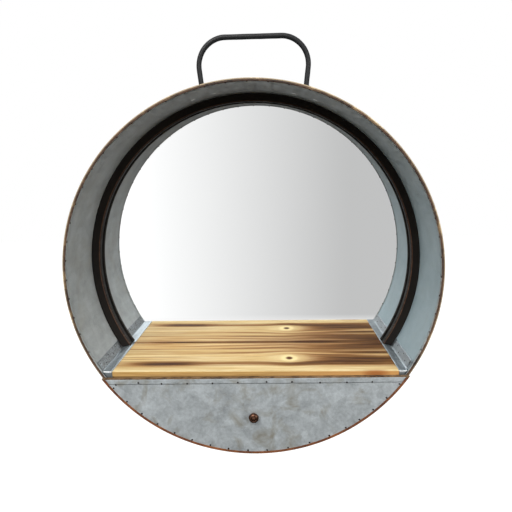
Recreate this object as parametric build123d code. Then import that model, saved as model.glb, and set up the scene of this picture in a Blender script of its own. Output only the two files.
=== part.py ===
from build123d import *
import os
from math import atan2, cos, degrees, exp, radians, sin, sqrt

# Round wall mirror with a shelf and a drawer.
# A bent plywood hoop is skinned with galvanised sheet inside and out. A mirror and its backing
# board close the back, a plank makes a shelf low in the hoop, and the space under the plank
# holds a drawer whose front is the missing slice of the circle.
# Millimetres. The origin is the centre of the hoop on the wall, +Z is up, +X is to the right
# and the front looks towards -Y.

# Hoop
drum_radius = 280.0
drum_depth = 136.0
hoop_thickness = 2.5
skin_thickness = 0.5
strip_thickness = 0.5
strip_outer_leg = 5.0
strip_inner_leg = 6.0

# Mirror, its backing board and the moulding in front of it
glass_thickness = 3.0
board_thickness = 9.0
glass_edge_gap = 1.0
board_edge_gap = 0.3
moulding_width = 11.3
moulding_lip_depth = 12.7
moulding_slope = 8.0
bead_height = 0.7
bead_width = 2.4
bead_bevel = 0.7
bead_groove = 1.2
rail_width = 9.0
rail_depth = 8.0

# Keyhole hanger plates in the back of the board
hanger_spacing = 300.0
hanger_height = 120.0
hanger_length = 60.0
hanger_width = 24.0
hanger_plate = 1.6
keyhole_radius = 5.0
keyhole_drop = 6.0
keyslot_radius = 2.4
keyslot_length = 13.0
hanger_pocket_width = 15.0
hanger_pocket_length = 34.0
hanger_pocket_depth = 7.0
hanger_fit = 0.15
hanger_screw_offset = 4.0

# Carrying handle
rod_radius = 3.9
handle_rise = 69.5
handle_half_width = 86.0
handle_lean = 6.3
handle_bend = 40.0
handle_shift = 7.0
handle_saddle = 1.5
handle_pad_length = 46.0
handle_pad_width = 20.0
handle_boss_radius = 7.0
handle_boss_length = 10.0
rod_fit = 0.05
rivet_offset = 17.0

# Shelf plank and the folded brackets at its ends
plank_rise = 134.9
plank_thickness = 12.0
plank_shift = 1.2
plank_setback = 1.9
plank_mirror_gap = 0.3
plank_edge_round = 0.8
bracket_sheet = 0.8
bracket_fit = 0.2
bracket_strip = 15.2
bracket_ledge = 21.0
bracket_tab = 14.0
bracket_flange = 15.0
bracket_flange_end_gap = 1.0

# Side cheeks under the plank, with the runners that carry the drawer
cheek_thickness = 9.0
cheek_setback = 6.5
cheek_length = 99.5
cheek_wall_gap = 0.2
cleat_size = 10.0
runner_height = 7.8
runner_drop = 45.0
runner_reach = 4.8
runner_setback = 9.5
runner_length = 96.5
runner_gap = 0.3
runner_lead = 1.6
stop_width = 50.0
stop_depth = 8.0
stop_height = 5.5
stop_screw_reach = 12.5

# Drawer box
box_corner_gap = 9.7
box_length = 109.0
box_top_gap = 6.0
box_height = 62.0
box_board = 9.0
box_side_gap = 0.8
groove_depth = 4.5
bottom_thickness = 3.0
bottom_rise = 3.0
bottom_groove = 4.0
bottom_fit = 0.1
back_rise = 3.1
drawer_travel = 80.0
stop_gap = 0.3

# Drawer front, a slice of the circle
front_inset = 1.5
front_overlap = 4.8
front_gap = 0.3
front_core_thickness = 5.0
front_skew = 0.4
edging_thickness = 0.5
edging_arc_leg = 3.6
edging_top_leg = 1.0
hem_width = 8.5
hem_thickness = 0.4

# Knob with its through screw
knob_radius = 7.75
knob_height = 12.0
knob_stem_radius = 4.2
knob_stem_height = 4.0
knob_dimple_radius = 4.4
knob_dimple_depth = 1.4
knob_rise = 66.0
knob_screw_radius = 2.0
knob_screw_head_radius = 3.4
knob_screw_head_height = 1.8
knob_slot_width = 0.9
knob_slot_depth = 0.9
nut_radius = 4.0
nut_height = 3.0
washer_radius = 5.0
washer_thickness = 1.0

# Tacks, screws and rivets
tack_head_radius = 1.5
tack_head_height = 0.8
tack_shank_radius = 0.6
tack_shank_length = 3.2
small_head_radius = 1.15
rim_tack_pitch = 6.0
rim_tack_setback = 2.0
rim_tack_clear = 7.2
arc_tack_count = 18
arc_tack_inset = 5.2
first_tack_angle = -37.0
last_tack_angle = -142.2
arc_drift_angle = 2.6
arc_drift_middle = 4.8
arc_drift_reach = 2.2
top_tack_count = 11
top_tack_end_gap = 33.2
top_tack_shift = -16.5
top_tack_drop = 8.0
flange_tack_count = 6
flange_tack_low = 4.0
flange_tack_high = 10.5
flange_tack_inset = 4.5
screw_radius = 1.6
screw_head_radius = 3.2
screw_head_height = 1.4
screw_hole_fit = 0.05
board_screw_count = 10
board_screw_length = 15.0
plank_screw_length = 9.0
cleat_screw_length = 16.0
runner_screw_length = 11.0
front_screw_length = 12.5
front_screw_reach = 105.0
screw_end_share = 0.2
cheek_screw_share = 0.35
runner_screw_count = 3
hanger_screw_length = 6.5
nail_radius = 0.9
nail_head_radius = 1.8
nail_length = 24.0
rivet_radius = 2.0
rivet_head_radius = 3.6
rivet_head_height = 1.5
rivet_tail_height = 0.5

# How far a cutter runs past the face that it cuts
overcut = 1.0

# Radii and planes that follow from the sizes above
skin_outer_radius = drum_radius - strip_thickness
hoop_outer_radius = skin_outer_radius - skin_thickness
hoop_inner_radius = hoop_outer_radius - hoop_thickness
wall_radius = hoop_inner_radius - skin_thickness
strip_inner_radius = wall_radius - strip_thickness
rim_y = -drum_depth
board_front_y = -board_thickness
glass_front_y = board_front_y - glass_thickness
moulding_front_y = glass_front_y - moulding_lip_depth - moulding_slope
moulding_inner_radius = wall_radius - moulding_width
handle_y = rim_y / 2
plank_top = plank_rise - drum_radius
fold_x = sqrt(strip_inner_radius**2 - plank_top**2)
plank_length = 2 * (fold_x - bracket_strip)
plank_bottom = plank_top - plank_thickness
plank_front_y = rim_y + plank_setback
plank_back_y = glass_front_y - plank_mirror_gap
front_radius = drum_radius - front_inset
front_top = plank_bottom + front_overlap
knob_z = knob_rise - drum_radius
front_back_y = rim_y - front_gap
front_core_y = front_back_y - front_core_thickness
front_skin_y = front_core_y - skin_thickness
box_top = plank_bottom - box_top_gap
box_bottom = box_top - box_height
box_half_width = sqrt(wall_radius**2 - box_bottom**2) - box_corner_gap
subfront_y = front_back_y + box_board
box_end_y = front_back_y + box_length
bottom_top = box_bottom + bottom_rise + bottom_thickness
cheek_inner_x = box_half_width + box_side_gap
cheek_front_y = rim_y + cheek_setback
runner_z = plank_bottom - runner_drop
groove_height = runner_height + 2 * runner_gap
box_back_y = box_end_y - box_board

parts = {}


def add(name, *solids):
    """Keep one named sub-part, made of one solid or of several separate ones."""
    parts[name] = solids[0] if len(solids) == 1 else Compound(children=list(solids))


def block(x, y, z):
    """Box between the low and high value of each axis."""
    size = [high - low for low, high in (x, y, z)]
    centre = [(high + low) / 2 for low, high in (x, y, z)]
    return Pos(*centre) * Box(*size)


def mirrored_block(side, x, y, z):
    """Box on the right, or its mirror image on the left when side is -1."""
    return block(sorted((side * x[0], side * x[1])), y, z)


def turned(points):
    """Solid of revolution about the hoop's axis, from (radius, y) points."""
    return revolve(make_face(Polyline(*points, close=True)), Axis.Y)


def tube(inner, outer, y_front, y_back):
    return turned([(inner, y_front), (outer, y_front), (outer, y_back), (inner, y_back)])


def disc(radius, y_front, y_back):
    return turned([(0, y_front), (radius, y_front), (radius, y_back), (0, y_back)])


def slice_plate(radius, top, y_front, y_back):
    """Plate with the outline of a circle cut off above the height top."""
    plate = disc(radius, y_front, y_back)
    return plate & block((-radius, radius), (y_front, y_back), (-radius, top))


def at_surface(point, outward):
    """Plane on a surface, with its own Z pointing out of it."""
    return Plane(origin=point, z_dir=outward)


def on_drum(angle, radius, y, outward=1):
    """Plane at an angle round the hoop, facing away from its axis, or towards it with -1."""
    direction = (cos(radians(angle)), 0, sin(radians(angle)))
    point = (radius * direction[0], y, radius * direction[2])
    return at_surface(point, tuple(outward * part for part in direction))


def seated(radius, head_radius):
    """Radius at which a flat head inside a round wall rests its edge on that wall."""
    return sqrt(radius**2 - head_radius**2)


def domed_pin(head_radius, head_height, shank_radius, shank_length):
    """Tack or round-headed screw, with its head on the plane Z = 0 and its shank below."""
    sphere = (head_radius**2 + head_height**2) / (2 * head_height)
    half_way = atan2(head_radius, sphere - head_height) / 2
    shoulder = (sphere * sin(half_way), head_height - sphere + sphere * cos(half_way))
    outline = Polyline(
        (0, head_height), (0, -shank_length), (shank_radius, -shank_length),
        (shank_radius, 0), (head_radius, 0),
    )
    crown = ThreePointArc((head_radius, 0), shoulder, (0, head_height))
    face = make_face(outline + crown)
    return Rot(90, 0, 0) * revolve(face, Axis.Y)


def sunk_pin(head_radius, shank_radius, shank_length):
    """Countersunk screw or nail, with its head flush with the plane Z = 0."""
    sink = head_radius - shank_radius
    outline = Polyline(
        (0, 0), (head_radius, 0), (shank_radius, -sink),
        (shank_radius, -shank_length), (0, -shank_length), close=True,
    )
    return Rot(90, 0, 0) * revolve(make_face(outline), Axis.Y)


def pin_hole(radius, depth):
    """Cutter for a shank that goes in from the plane Z = 0, and a little above it."""
    return Pos(0, 0, -depth / 2) * Cylinder(radius + screw_hole_fit, depth + 2 * screw_hole_fit)


def sunk_hole(head_radius, shank_radius, shank_length):
    """Cutter for a countersunk pin."""
    return sunk_pin(head_radius + screw_hole_fit, shank_radius + screw_hole_fit,
                    shank_length + screw_hole_fit)


def placed(planes, solid):
    """Copies of one solid, one on each plane."""
    return [plane * solid for plane in planes]


def spread(count, low, high):
    """Evenly spaced values that include both ends."""
    return [low + (high - low) * step / (count - 1) for step in range(count)]


def ends_of(start, length, share=screw_end_share):
    """Two places along a length, the same share of it in from either end."""
    return start + share * length, start + (1 - share) * length


# Places of the tacks, screws and rivets, which the pieces under them share

def rim_tack_angles():
    """Every pitch round the rim, but not where the brackets stand."""
    fold = degrees(atan2(plank_top, sqrt(wall_radius**2 - plank_top**2)))
    clear = degrees((bracket_flange + rim_tack_clear) / wall_radius)
    lowest = degrees(atan2(plank_bottom - bracket_tab, wall_radius))
    angles = [rim_tack_pitch * step for step in range(round(360 / rim_tack_pitch))]
    return [
        angle for angle in angles
        if not lowest - rim_tack_pitch < degrees(atan2(
            sin(radians(angle)), abs(cos(radians(angle))))) < fold + clear
    ]


rim_tack_planes = [
    on_drum(angle, seated(strip_inner_radius, tack_head_radius), rim_y + rim_tack_setback, -1)
    for angle in rim_tack_angles()
]
board_screw_planes = [
    on_drum(360 * (step + 0.5) / board_screw_count, skin_outer_radius, board_front_y / 2)
    for step in range(board_screw_count)
]


def leg_end(side, radius):
    """Where the middle line of a handle leg crosses a circle round the hoop's axis."""
    corner_x = handle_shift + side * handle_half_width
    corner_z = drum_radius + handle_rise
    run = (-side * sin(radians(handle_lean)), -cos(radians(handle_lean)))
    along = corner_x * run[0] + corner_z * run[1]
    reach = corner_x**2 + corner_z**2 - radius**2
    length = -along - sqrt(along**2 - reach)
    return corner_x + length * run[0], corner_z + length * run[1]


def leg_angle(side):
    x, z = leg_end(side, skin_outer_radius)
    return degrees(atan2(z, x))


handle_rivet_planes = [
    on_drum(leg_angle(side) + turn * degrees(rivet_offset / skin_outer_radius),
            skin_outer_radius + handle_saddle, handle_y)
    for side in (-1, 1) for turn in (-1, 1)
]
rivet_shank = skin_outer_radius + handle_saddle - seated(wall_radius, rivet_head_radius)


# Hoop

def make_hoop():
    cuts = placed(rim_tack_planes, pin_hole(tack_shank_radius, tack_shank_length))
    cuts += placed(board_screw_planes, pin_hole(screw_radius, board_screw_length))
    cuts += placed(handle_rivet_planes, pin_hole(rivet_radius, rivet_shank))
    front = rim_y + strip_thickness
    add("hoop_core", tube(hoop_inner_radius, hoop_outer_radius, front, -skin_thickness) - cuts)
    add("inner_skin", tube(wall_radius, hoop_inner_radius, front, -skin_thickness) - cuts)
    outer_skin = turned([
        (hoop_outer_radius, front), (skin_outer_radius, front), (skin_outer_radius, 0),
        (wall_radius, 0), (wall_radius, -skin_thickness), (hoop_outer_radius, -skin_thickness),
    ])
    add("outer_skin", outer_skin - cuts)
    rim_strip = turned([
        (strip_inner_radius, rim_y), (drum_radius, rim_y),
        (drum_radius, rim_y + strip_outer_leg), (skin_outer_radius, rim_y + strip_outer_leg),
        (skin_outer_radius, front), (wall_radius, front),
        (wall_radius, rim_y + strip_inner_leg), (strip_inner_radius, rim_y + strip_inner_leg),
    ])
    add("rim_strip", rim_strip - cuts)
    tack = domed_pin(tack_head_radius, tack_head_height, tack_shank_radius, tack_shank_length)
    add("rim_tacks", *placed(rim_tack_planes, tack))


# Mirror, backing board and moulding

def keyhole(centre_x, depth):
    """Cutter for the entry hole and the slot above it, through a plate at the back plane."""
    low = hanger_height - keyhole_drop
    entry = Pos(centre_x, 0, low) * Rot(90, 0, 0) * Cylinder(keyhole_radius, depth)
    neck = block((centre_x - keyslot_radius, centre_x + keyslot_radius), (-depth / 2, depth / 2),
                 (low, low + keyslot_length))
    top = Pos(centre_x, 0, low + keyslot_length) * Rot(90, 0, 0) * Cylinder(keyslot_radius, depth)
    return entry + neck + top


def rounded_plate(centre_x, length, width, y):
    """Upright plate with round ends, between two depths."""
    outline = Plane.XZ * Rot(0, 0, 90) * SlotOverall(length, width)
    depth = y[1] - y[0]
    return Pos(centre_x, y[1], hanger_height) * extrude(outline, depth)


hanger_centres = (-hanger_spacing / 2, hanger_spacing / 2)
hanger_screw_rise = (hanger_length - hanger_width) / 2 + hanger_screw_offset
hanger_screw_planes = [
    at_surface((x, 0, hanger_height + turn * hanger_screw_rise), (0, 1, 0))
    for x in hanger_centres for turn in (-1, 1)
]


def make_mirror():
    board = disc(wall_radius - board_edge_gap, board_front_y, 0)
    for x in hanger_centres:
        board -= rounded_plate(x, hanger_length + 2 * hanger_fit, hanger_width + 2 * hanger_fit,
                               (-hanger_plate, overcut))
        board -= rounded_plate(x, hanger_pocket_length, hanger_pocket_width,
                               (-hanger_pocket_depth, overcut))
    board -= placed(hanger_screw_planes, pin_hole(screw_radius, hanger_screw_length))
    board -= placed(board_screw_planes, pin_hole(screw_radius, board_screw_length))
    add("backing_board", board)
    add("mirror_glass", disc(wall_radius - glass_edge_gap, glass_front_y, board_front_y))
    screw = domed_pin(screw_head_radius, screw_head_height, screw_radius, board_screw_length)
    add("board_screws", *placed(board_screw_planes, screw))


def make_moulding():
    """Dark moulding with two beads on its inner face, and a sloping front."""
    inner = moulding_inner_radius
    low = inner + bead_height
    lip_y = glass_front_y - moulding_lip_depth
    outline = [(wall_radius, glass_front_y), (low, glass_front_y)]
    bead_y = lip_y + 2 * bead_width + bead_groove
    for start in (bead_y, lip_y + bead_width):
        outline += [(low, start), (inner, start - bead_bevel)]
        outline += [(inner, start - bead_width + bead_bevel), (low, start - bead_width)]
    outline.append((wall_radius, moulding_front_y))
    whole = turned(outline)
    reach = 2 * drum_radius
    add("moulding", whole & block((-reach, reach), (-reach, reach), (plank_top, reach)))
    rail = tube(wall_radius - rail_width, wall_radius, glass_front_y - rail_depth, glass_front_y)
    rail_top = plank_bottom - bracket_sheet - bracket_fit
    add("glass_rail", rail & block((-reach, reach), (-reach, reach), (-reach, rail_top)))


def make_hangers():
    plates = []
    for x in hanger_centres:
        plate = rounded_plate(x, hanger_length, hanger_width, (-hanger_plate, 0))
        plate -= keyhole(x, 2 * (hanger_plate + overcut))
        plates.append(plate)
    cutter = sunk_hole(screw_head_radius, screw_radius, hanger_screw_length)
    cuts = placed(hanger_screw_planes, cutter)
    left, right = (plate - cuts for plate in plates)
    add("hanger_left", left)
    add("hanger_right", right)
    screw = sunk_pin(screw_head_radius, screw_radius, hanger_screw_length)
    add("hanger_screws", *placed(hanger_screw_planes, screw))


# Carrying handle

def make_handle():
    top = drum_radius + handle_rise
    corners = []
    for side in (-1, 1):
        foot_x, foot_z = leg_end(side, skin_outer_radius + handle_saddle)
        ends = [(foot_x, foot_z), (handle_shift + side * handle_half_width, top)]
        corners += ends if side < 0 else ends[::-1]
    path = FilletPolyline(*[(x, handle_y, z) for x, z in corners], radius=handle_bend)
    section = Plane(origin=path @ 0, z_dir=path % 0) * Circle(rod_radius)
    rod = sweep(section, path=path)
    # The feet of the rod are cut to the curve of the saddles that they stand on
    add("handle_rod", rod - disc(skin_outer_radius + handle_saddle, rim_y, 0))
    rivet_cuts = placed(handle_rivet_planes, Pos(0, 0, handle_saddle) * pin_hole(
        rivet_radius, rivet_shank + handle_saddle))
    for name, side in (("handle_saddle_left", -1), ("handle_saddle_right", 1)):
        add(name, make_saddle(side) - rivet_cuts)
    head = domed_pin(rivet_head_radius, rivet_head_height, rivet_radius, rivet_shank)
    tail = Pos(0, 0, -rivet_shank) * Rot(180, 0, 0) * domed_pin(
        rivet_head_radius, rivet_tail_height, rivet_radius, rivet_tail_height / 2)
    rivet = head + tail
    add("handle_rivets", *placed(handle_rivet_planes, rivet))


def make_saddle(side):
    """Curved pad on the hoop with a socket for the foot of the rod."""
    outer = skin_outer_radius + handle_saddle
    foot = leg_end(side, outer)
    lean = side * handle_lean
    half_turn = degrees(handle_pad_length / 2 / outer)
    pad = tube(skin_outer_radius, outer, handle_y - handle_pad_width / 2,
               handle_y + handle_pad_width / 2)
    wedge = Rot(0, -leg_angle(side), 0) * block(
        (0, 2 * drum_radius), (rim_y, 0),
        (-outer * sin(radians(half_turn)), outer * sin(radians(half_turn))))
    leg = Pos(foot[0], handle_y, foot[1]) * Rot(0, lean, 0)
    boss = leg * Cylinder(handle_boss_radius, 2 * handle_boss_length)
    socket = leg * Cylinder(rod_radius + rod_fit, 4 * handle_boss_length)
    ring = boss - disc(outer, rim_y, 0) - socket
    return (pad & wedge) + ring


# Shelf

def plank_end(side):
    return plank_length / 2 + side * plank_shift


def flange_tack_planes(side):
    """Two staggered rows up the wall flange of a bracket."""
    fold = degrees(atan2(-plank_top, fold_x))
    surface = strip_inner_radius - bracket_sheet
    first = rim_y + strip_inner_leg + bracket_flange_end_gap + flange_tack_inset
    last = moulding_front_y - bracket_flange_end_gap - flange_tack_inset
    planes = []
    for step, y in enumerate(spread(flange_tack_count, first, last)):
        rise = flange_tack_high if step % 2 == 0 else flange_tack_low
        angle = -fold + degrees(rise / surface)
        angle = angle if side > 0 else 180 - angle
        planes.append(on_drum(angle, seated(surface, small_head_radius), y, -1))
    return planes


def plank_screw_planes(side):
    x = side * (plank_end(side) - bracket_ledge / 2)
    low = plank_bottom - bracket_sheet
    length = plank_back_y - plank_front_y
    return [at_surface((x, y, low), (0, 0, -1)) for y in ends_of(plank_front_y, length)]


def make_bracket(side):
    """Folded sheet: ledge under the plank, riser at its end, top strip, flange on the wall
    and a tab that closes the front."""
    end = plank_end(side) + bracket_fit
    reach = drum_radius
    depth = (plank_front_y, plank_back_y)
    lower = plank_bottom - bracket_sheet
    ledge = block((end - bracket_ledge, end + bracket_sheet), depth, (lower, plank_bottom))
    riser = block((end, end + bracket_sheet), depth, (lower, plank_top))
    top = block((end, reach), depth, (plank_top - bracket_sheet, plank_top))
    tab = block((end, reach), (plank_front_y, plank_front_y + bracket_sheet),
                (plank_top - bracket_tab, plank_top))
    inside = disc(strip_inner_radius, rim_y, 0)
    fold = atan2(-plank_top, fold_x)
    flange_top = -strip_inner_radius * sin(fold - bracket_flange / strip_inner_radius)
    flange = tube(strip_inner_radius - bracket_sheet, strip_inner_radius,
                  rim_y + strip_inner_leg + bracket_flange_end_gap,
                  moulding_front_y - bracket_flange_end_gap)
    flange &= block((0, reach), (rim_y, 0), (plank_top - bracket_sheet, flange_top))
    shape = ledge + riser + (top & inside) + (tab & inside) + flange
    if side < 0:
        shape = shape.mirror(Plane.YZ)
    shape -= placed(flange_tack_planes(side), pin_hole(tack_shank_radius, tack_shank_length))
    shape -= placed(plank_screw_planes(side), pin_hole(screw_radius, plank_screw_length))
    return shape


def make_shelf():
    plank = block((-plank_end(-1), plank_end(1)), (plank_front_y, plank_back_y),
                  (plank_bottom, plank_top))
    front_edges = plank.edges().filter_by(Axis.X).group_by(Axis.Y)[0]
    plank = fillet(front_edges, plank_edge_round)
    screw = domed_pin(screw_head_radius, screw_head_height, screw_radius, plank_screw_length)
    plank_screws = []
    for side in (-1, 1):
        plank -= placed(plank_screw_planes(side), pin_hole(screw_radius, plank_screw_length))
        plank_screws += placed(plank_screw_planes(side), screw)
    plank -= placed(cleat_screw_planes(), pin_hole(screw_radius, cleat_screw_length))
    plank -= placed(stop_screw_planes(), pin_hole(screw_radius, plank_screw_length))
    add("shelf_plank", plank)
    add("plank_screws", *plank_screws)
    add("bracket_left", make_bracket(-1))
    add("bracket_right", make_bracket(1))
    tack = domed_pin(small_head_radius, tack_head_height, tack_shank_radius, bracket_sheet)
    add("bracket_tacks", *placed(flange_tack_planes(-1) + flange_tack_planes(1), tack))


# Cheeks and runners under the plank

def cleat_screw_planes():
    """Screws up through the cleats into the plank."""
    low = plank_bottom - cleat_size
    x = cheek_inner_x + cheek_thickness + cleat_size / 2
    return [
        at_surface((side * x, y, low), (0, 0, -1))
        for side in (-1, 1) for y in ends_of(cheek_front_y, cheek_length)
    ]


def cheek_screw_planes(side):
    """Screws through the cheek into the cleat."""
    x = side * cheek_inner_x
    z = plank_bottom - cleat_size / 2
    return [
        at_surface((x, y, z), (-side, 0, 0))
        for y in ends_of(cheek_front_y, cheek_length, cheek_screw_share)
    ]


def runner_screw_planes(side):
    x = side * (cheek_inner_x - runner_reach)
    ends = ends_of(rim_y + runner_setback, runner_length)
    return [
        at_surface((x, y, runner_z), (-side, 0, 0)) for y in spread(runner_screw_count, *ends)
    ]


def stop_screw_planes():
    y = stop_back_y() - stop_depth / 2
    return [
        at_surface((side * stop_screw_reach, y, plank_bottom - stop_height), (0, 0, -1))
        for side in (-1, 1)
    ]


def stop_back_y():
    """The back board of the drawer meets the stop at the end of its travel."""
    return box_back_y - drawer_travel - stop_gap


def make_cheek(side):
    x = (cheek_inner_x, cheek_inner_x + cheek_thickness)
    y = (cheek_front_y, cheek_front_y + cheek_length)
    cheek = mirrored_block(side, x, y, (-drum_radius, plank_bottom))
    cheek &= disc(wall_radius - cheek_wall_gap, rim_y, 0)
    cheek -= placed(cheek_screw_planes(side),
                    sunk_hole(screw_head_radius, screw_radius, cleat_screw_length))
    cheek -= placed(runner_screw_planes(side), pin_hole(screw_radius, runner_screw_length))
    return cheek


def make_runner(side):
    """Hardwood strip with its front end tapered, so that the drawer finds it."""
    x = (cheek_inner_x - runner_reach, cheek_inner_x)
    start = rim_y + runner_setback
    z = (runner_z - runner_height / 2, runner_z + runner_height / 2)
    runner = mirrored_block(side, x, (start, start + runner_length), z)
    lead = runner.edges().filter_by(Axis.X).group_by(Axis.Y)[0]
    runner = chamfer(lead, runner_lead)
    runner -= placed(runner_screw_planes(side),
                     sunk_hole(screw_head_radius, screw_radius, runner_screw_length))
    return runner


def make_cleat(side):
    x = (cheek_inner_x + cheek_thickness, cheek_inner_x + cheek_thickness + cleat_size)
    y = (cheek_front_y, cheek_front_y + cheek_length)
    cleat = mirrored_block(side, x, y, (plank_bottom - cleat_size, plank_bottom))
    cleat -= placed(cleat_screw_planes(), pin_hole(screw_radius, cleat_screw_length))
    cleat -= placed(cheek_screw_planes(side), pin_hole(screw_radius, cleat_screw_length))
    return cleat


def make_compartment():
    cheek_screws = []
    runner_screws = []
    cheek_screw = sunk_pin(screw_head_radius, screw_radius, cleat_screw_length)
    runner_screw = sunk_pin(screw_head_radius, screw_radius, runner_screw_length)
    for name, side in (("left", -1), ("right", 1)):
        add("cheek_" + name, make_cheek(side))
        add("cleat_" + name, make_cleat(side))
        add("runner_" + name, make_runner(side))
        cheek_screws += placed(cheek_screw_planes(side), cheek_screw)
        runner_screws += placed(runner_screw_planes(side), runner_screw)
    add("cheek_screws", *cheek_screws)
    add("runner_screws", *runner_screws)
    cleat_screw = domed_pin(screw_head_radius, screw_head_height, screw_radius, cleat_screw_length)
    add("cleat_screws", *placed(cleat_screw_planes(), cleat_screw))
    back = stop_back_y()
    stop = block((-stop_width / 2, stop_width / 2), (back - stop_depth, back),
                 (plank_bottom - stop_height, plank_bottom))
    stop -= placed(stop_screw_planes(),
                   sunk_hole(screw_head_radius, screw_radius, plank_screw_length))
    add("drawer_stop", stop)
    stop_screw = sunk_pin(screw_head_radius, screw_radius, plank_screw_length)
    add("stop_screws", *placed(stop_screw_planes(), stop_screw))


# Drawer box

front_nail_planes = [
    at_surface((side * (box_half_width - box_board / 2), front_back_y, z), (0, -1, 0))
    for side in (-1, 1) for z in ends_of(box_bottom, box_height)
]
back_nail_planes = [
    at_surface((side * box_half_width, box_end_y - box_board / 2, z), (side, 0, 0))
    for side in (-1, 1) for z in ends_of(box_bottom, box_height)
]
front_screw_planes = [
    at_surface((side * front_screw_reach, subfront_y, z), (0, 1, 0))
    for side in (-1, 1) for z in ends_of(box_bottom, box_height)
]
nail_cut = sunk_hole(nail_head_radius, nail_radius, nail_length)
knob_axis = at_surface((0, subfront_y, knob_z), (0, 1, 0))
knob_hole = pin_hole(knob_screw_radius, box_length)
bottom_slot = (bottom_top - bottom_thickness - bottom_fit, bottom_top + bottom_fit)


def make_drawer_side(side):
    x = (box_half_width - box_board, box_half_width)
    shape = mirrored_block(side, x, (subfront_y, box_end_y), (box_bottom, box_top))
    groove = (runner_z - groove_height / 2, runner_z + groove_height / 2)
    shape -= mirrored_block(side, (box_half_width - groove_depth, box_half_width + groove_depth),
                            (rim_y - drum_depth, 0), groove)
    shape -= mirrored_block(side, (x[0] - bottom_groove, x[0] + bottom_groove),
                            (rim_y - drum_depth, 0), bottom_slot)
    shape -= placed(front_nail_planes + back_nail_planes, nail_cut)
    return shape


def make_drawer_box():
    half = box_half_width
    inner = half - box_board
    subfront = block((-half, half), (front_back_y, subfront_y), (box_bottom, box_top))
    subfront -= block((-inner - bottom_groove, inner + bottom_groove),
                      (subfront_y - bottom_groove, subfront_y + bottom_groove), bottom_slot)
    subfront -= placed(front_nail_planes, nail_cut)
    subfront -= placed(front_screw_planes, pin_hole(screw_radius, front_screw_length))
    subfront -= knob_axis * knob_hole
    add("drawer_subfront", subfront)
    add("drawer_side_left", make_drawer_side(-1))
    add("drawer_side_right", make_drawer_side(1))
    back = block((-inner, inner), (box_back_y, box_end_y), (bottom_top, box_top + back_rise))
    add("drawer_back", back - placed(back_nail_planes, nail_cut))
    tongue = bottom_groove - bottom_fit
    add("drawer_bottom", block((-inner - tongue, inner + tongue),
                               (subfront_y - tongue, box_end_y),
                               (bottom_top - bottom_thickness, bottom_top)))
    nail = sunk_pin(nail_head_radius, nail_radius, nail_length)
    add("box_nails", *placed(front_nail_planes + back_nail_planes, nail))
    screw = domed_pin(screw_head_radius, screw_head_height, screw_radius, front_screw_length)
    add("front_screws", *placed(front_screw_planes, screw))


# Drawer front

skew = Rot(0, -front_skew, 0)
hem_y = front_skin_y - hem_thickness
edging_y = front_skin_y - edging_thickness


def arc_tack_planes():
    """A row along the arc, set by hand, so that it crowds a little to the right in one place."""
    radius = front_radius - arc_tack_inset
    planes = []
    for step, angle in enumerate(spread(arc_tack_count, first_tack_angle, last_tack_angle)):
        drift = exp(-((step - arc_drift_middle) / arc_drift_reach)**2)
        turn = radians(angle + arc_drift_angle * drift)
        place = (radius * cos(turn), front_skin_y, radius * sin(turn))
        planes.append(at_surface(place, (0, -1, 0)))
    return planes


def top_tack_planes():
    z = front_top - top_tack_drop
    reach = sqrt(front_radius**2 - z**2) - top_tack_end_gap
    return [
        at_surface((x, hem_y, z), (0, -1, 0))
        for x in spread(top_tack_count, top_tack_shift - reach, top_tack_shift + reach)
    ]


def make_front():
    tack_cuts = placed(arc_tack_planes() + top_tack_planes(),
                       pin_hole(tack_shank_radius, tack_shank_length))
    screw_cuts = placed(front_screw_planes, pin_hole(screw_radius, front_screw_length))
    shank_cut = knob_axis * knob_hole
    inner_radius = front_radius - edging_thickness
    inner_top = front_top - edging_thickness
    core = slice_plate(inner_radius, inner_top, front_core_y, front_back_y)
    add("front_core", skew * (core - tack_cuts) - screw_cuts - shank_cut)
    sheet = slice_plate(inner_radius, inner_top, front_skin_y, front_core_y)
    add("front_skin", skew * (sheet - tack_cuts) - shank_cut)
    whole = slice_plate(front_radius, front_top, edging_y, front_back_y)
    edging = whole - slice_plate(inner_radius, inner_top, front_skin_y, front_back_y)
    edging -= slice_plate(front_radius - edging_arc_leg, front_top - edging_top_leg,
                          edging_y, front_skin_y)
    add("front_edging", skew * edging)
    hem_radius = front_radius - edging_arc_leg
    hem_top = front_top - edging_top_leg
    hem = slice_plate(hem_radius, hem_top, hem_y, front_skin_y)
    hem -= slice_plate(front_radius, hem_top - hem_width, hem_y, front_skin_y)
    add("front_hem", skew * (hem - tack_cuts))
    tack = domed_pin(tack_head_radius, tack_head_height, tack_shank_radius, tack_shank_length)
    add("front_arc_tacks", *[skew * solid for solid in placed(arc_tack_planes(), tack)])
    add("front_top_tacks", *[skew * solid for solid in placed(top_tack_planes(), tack)])


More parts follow.
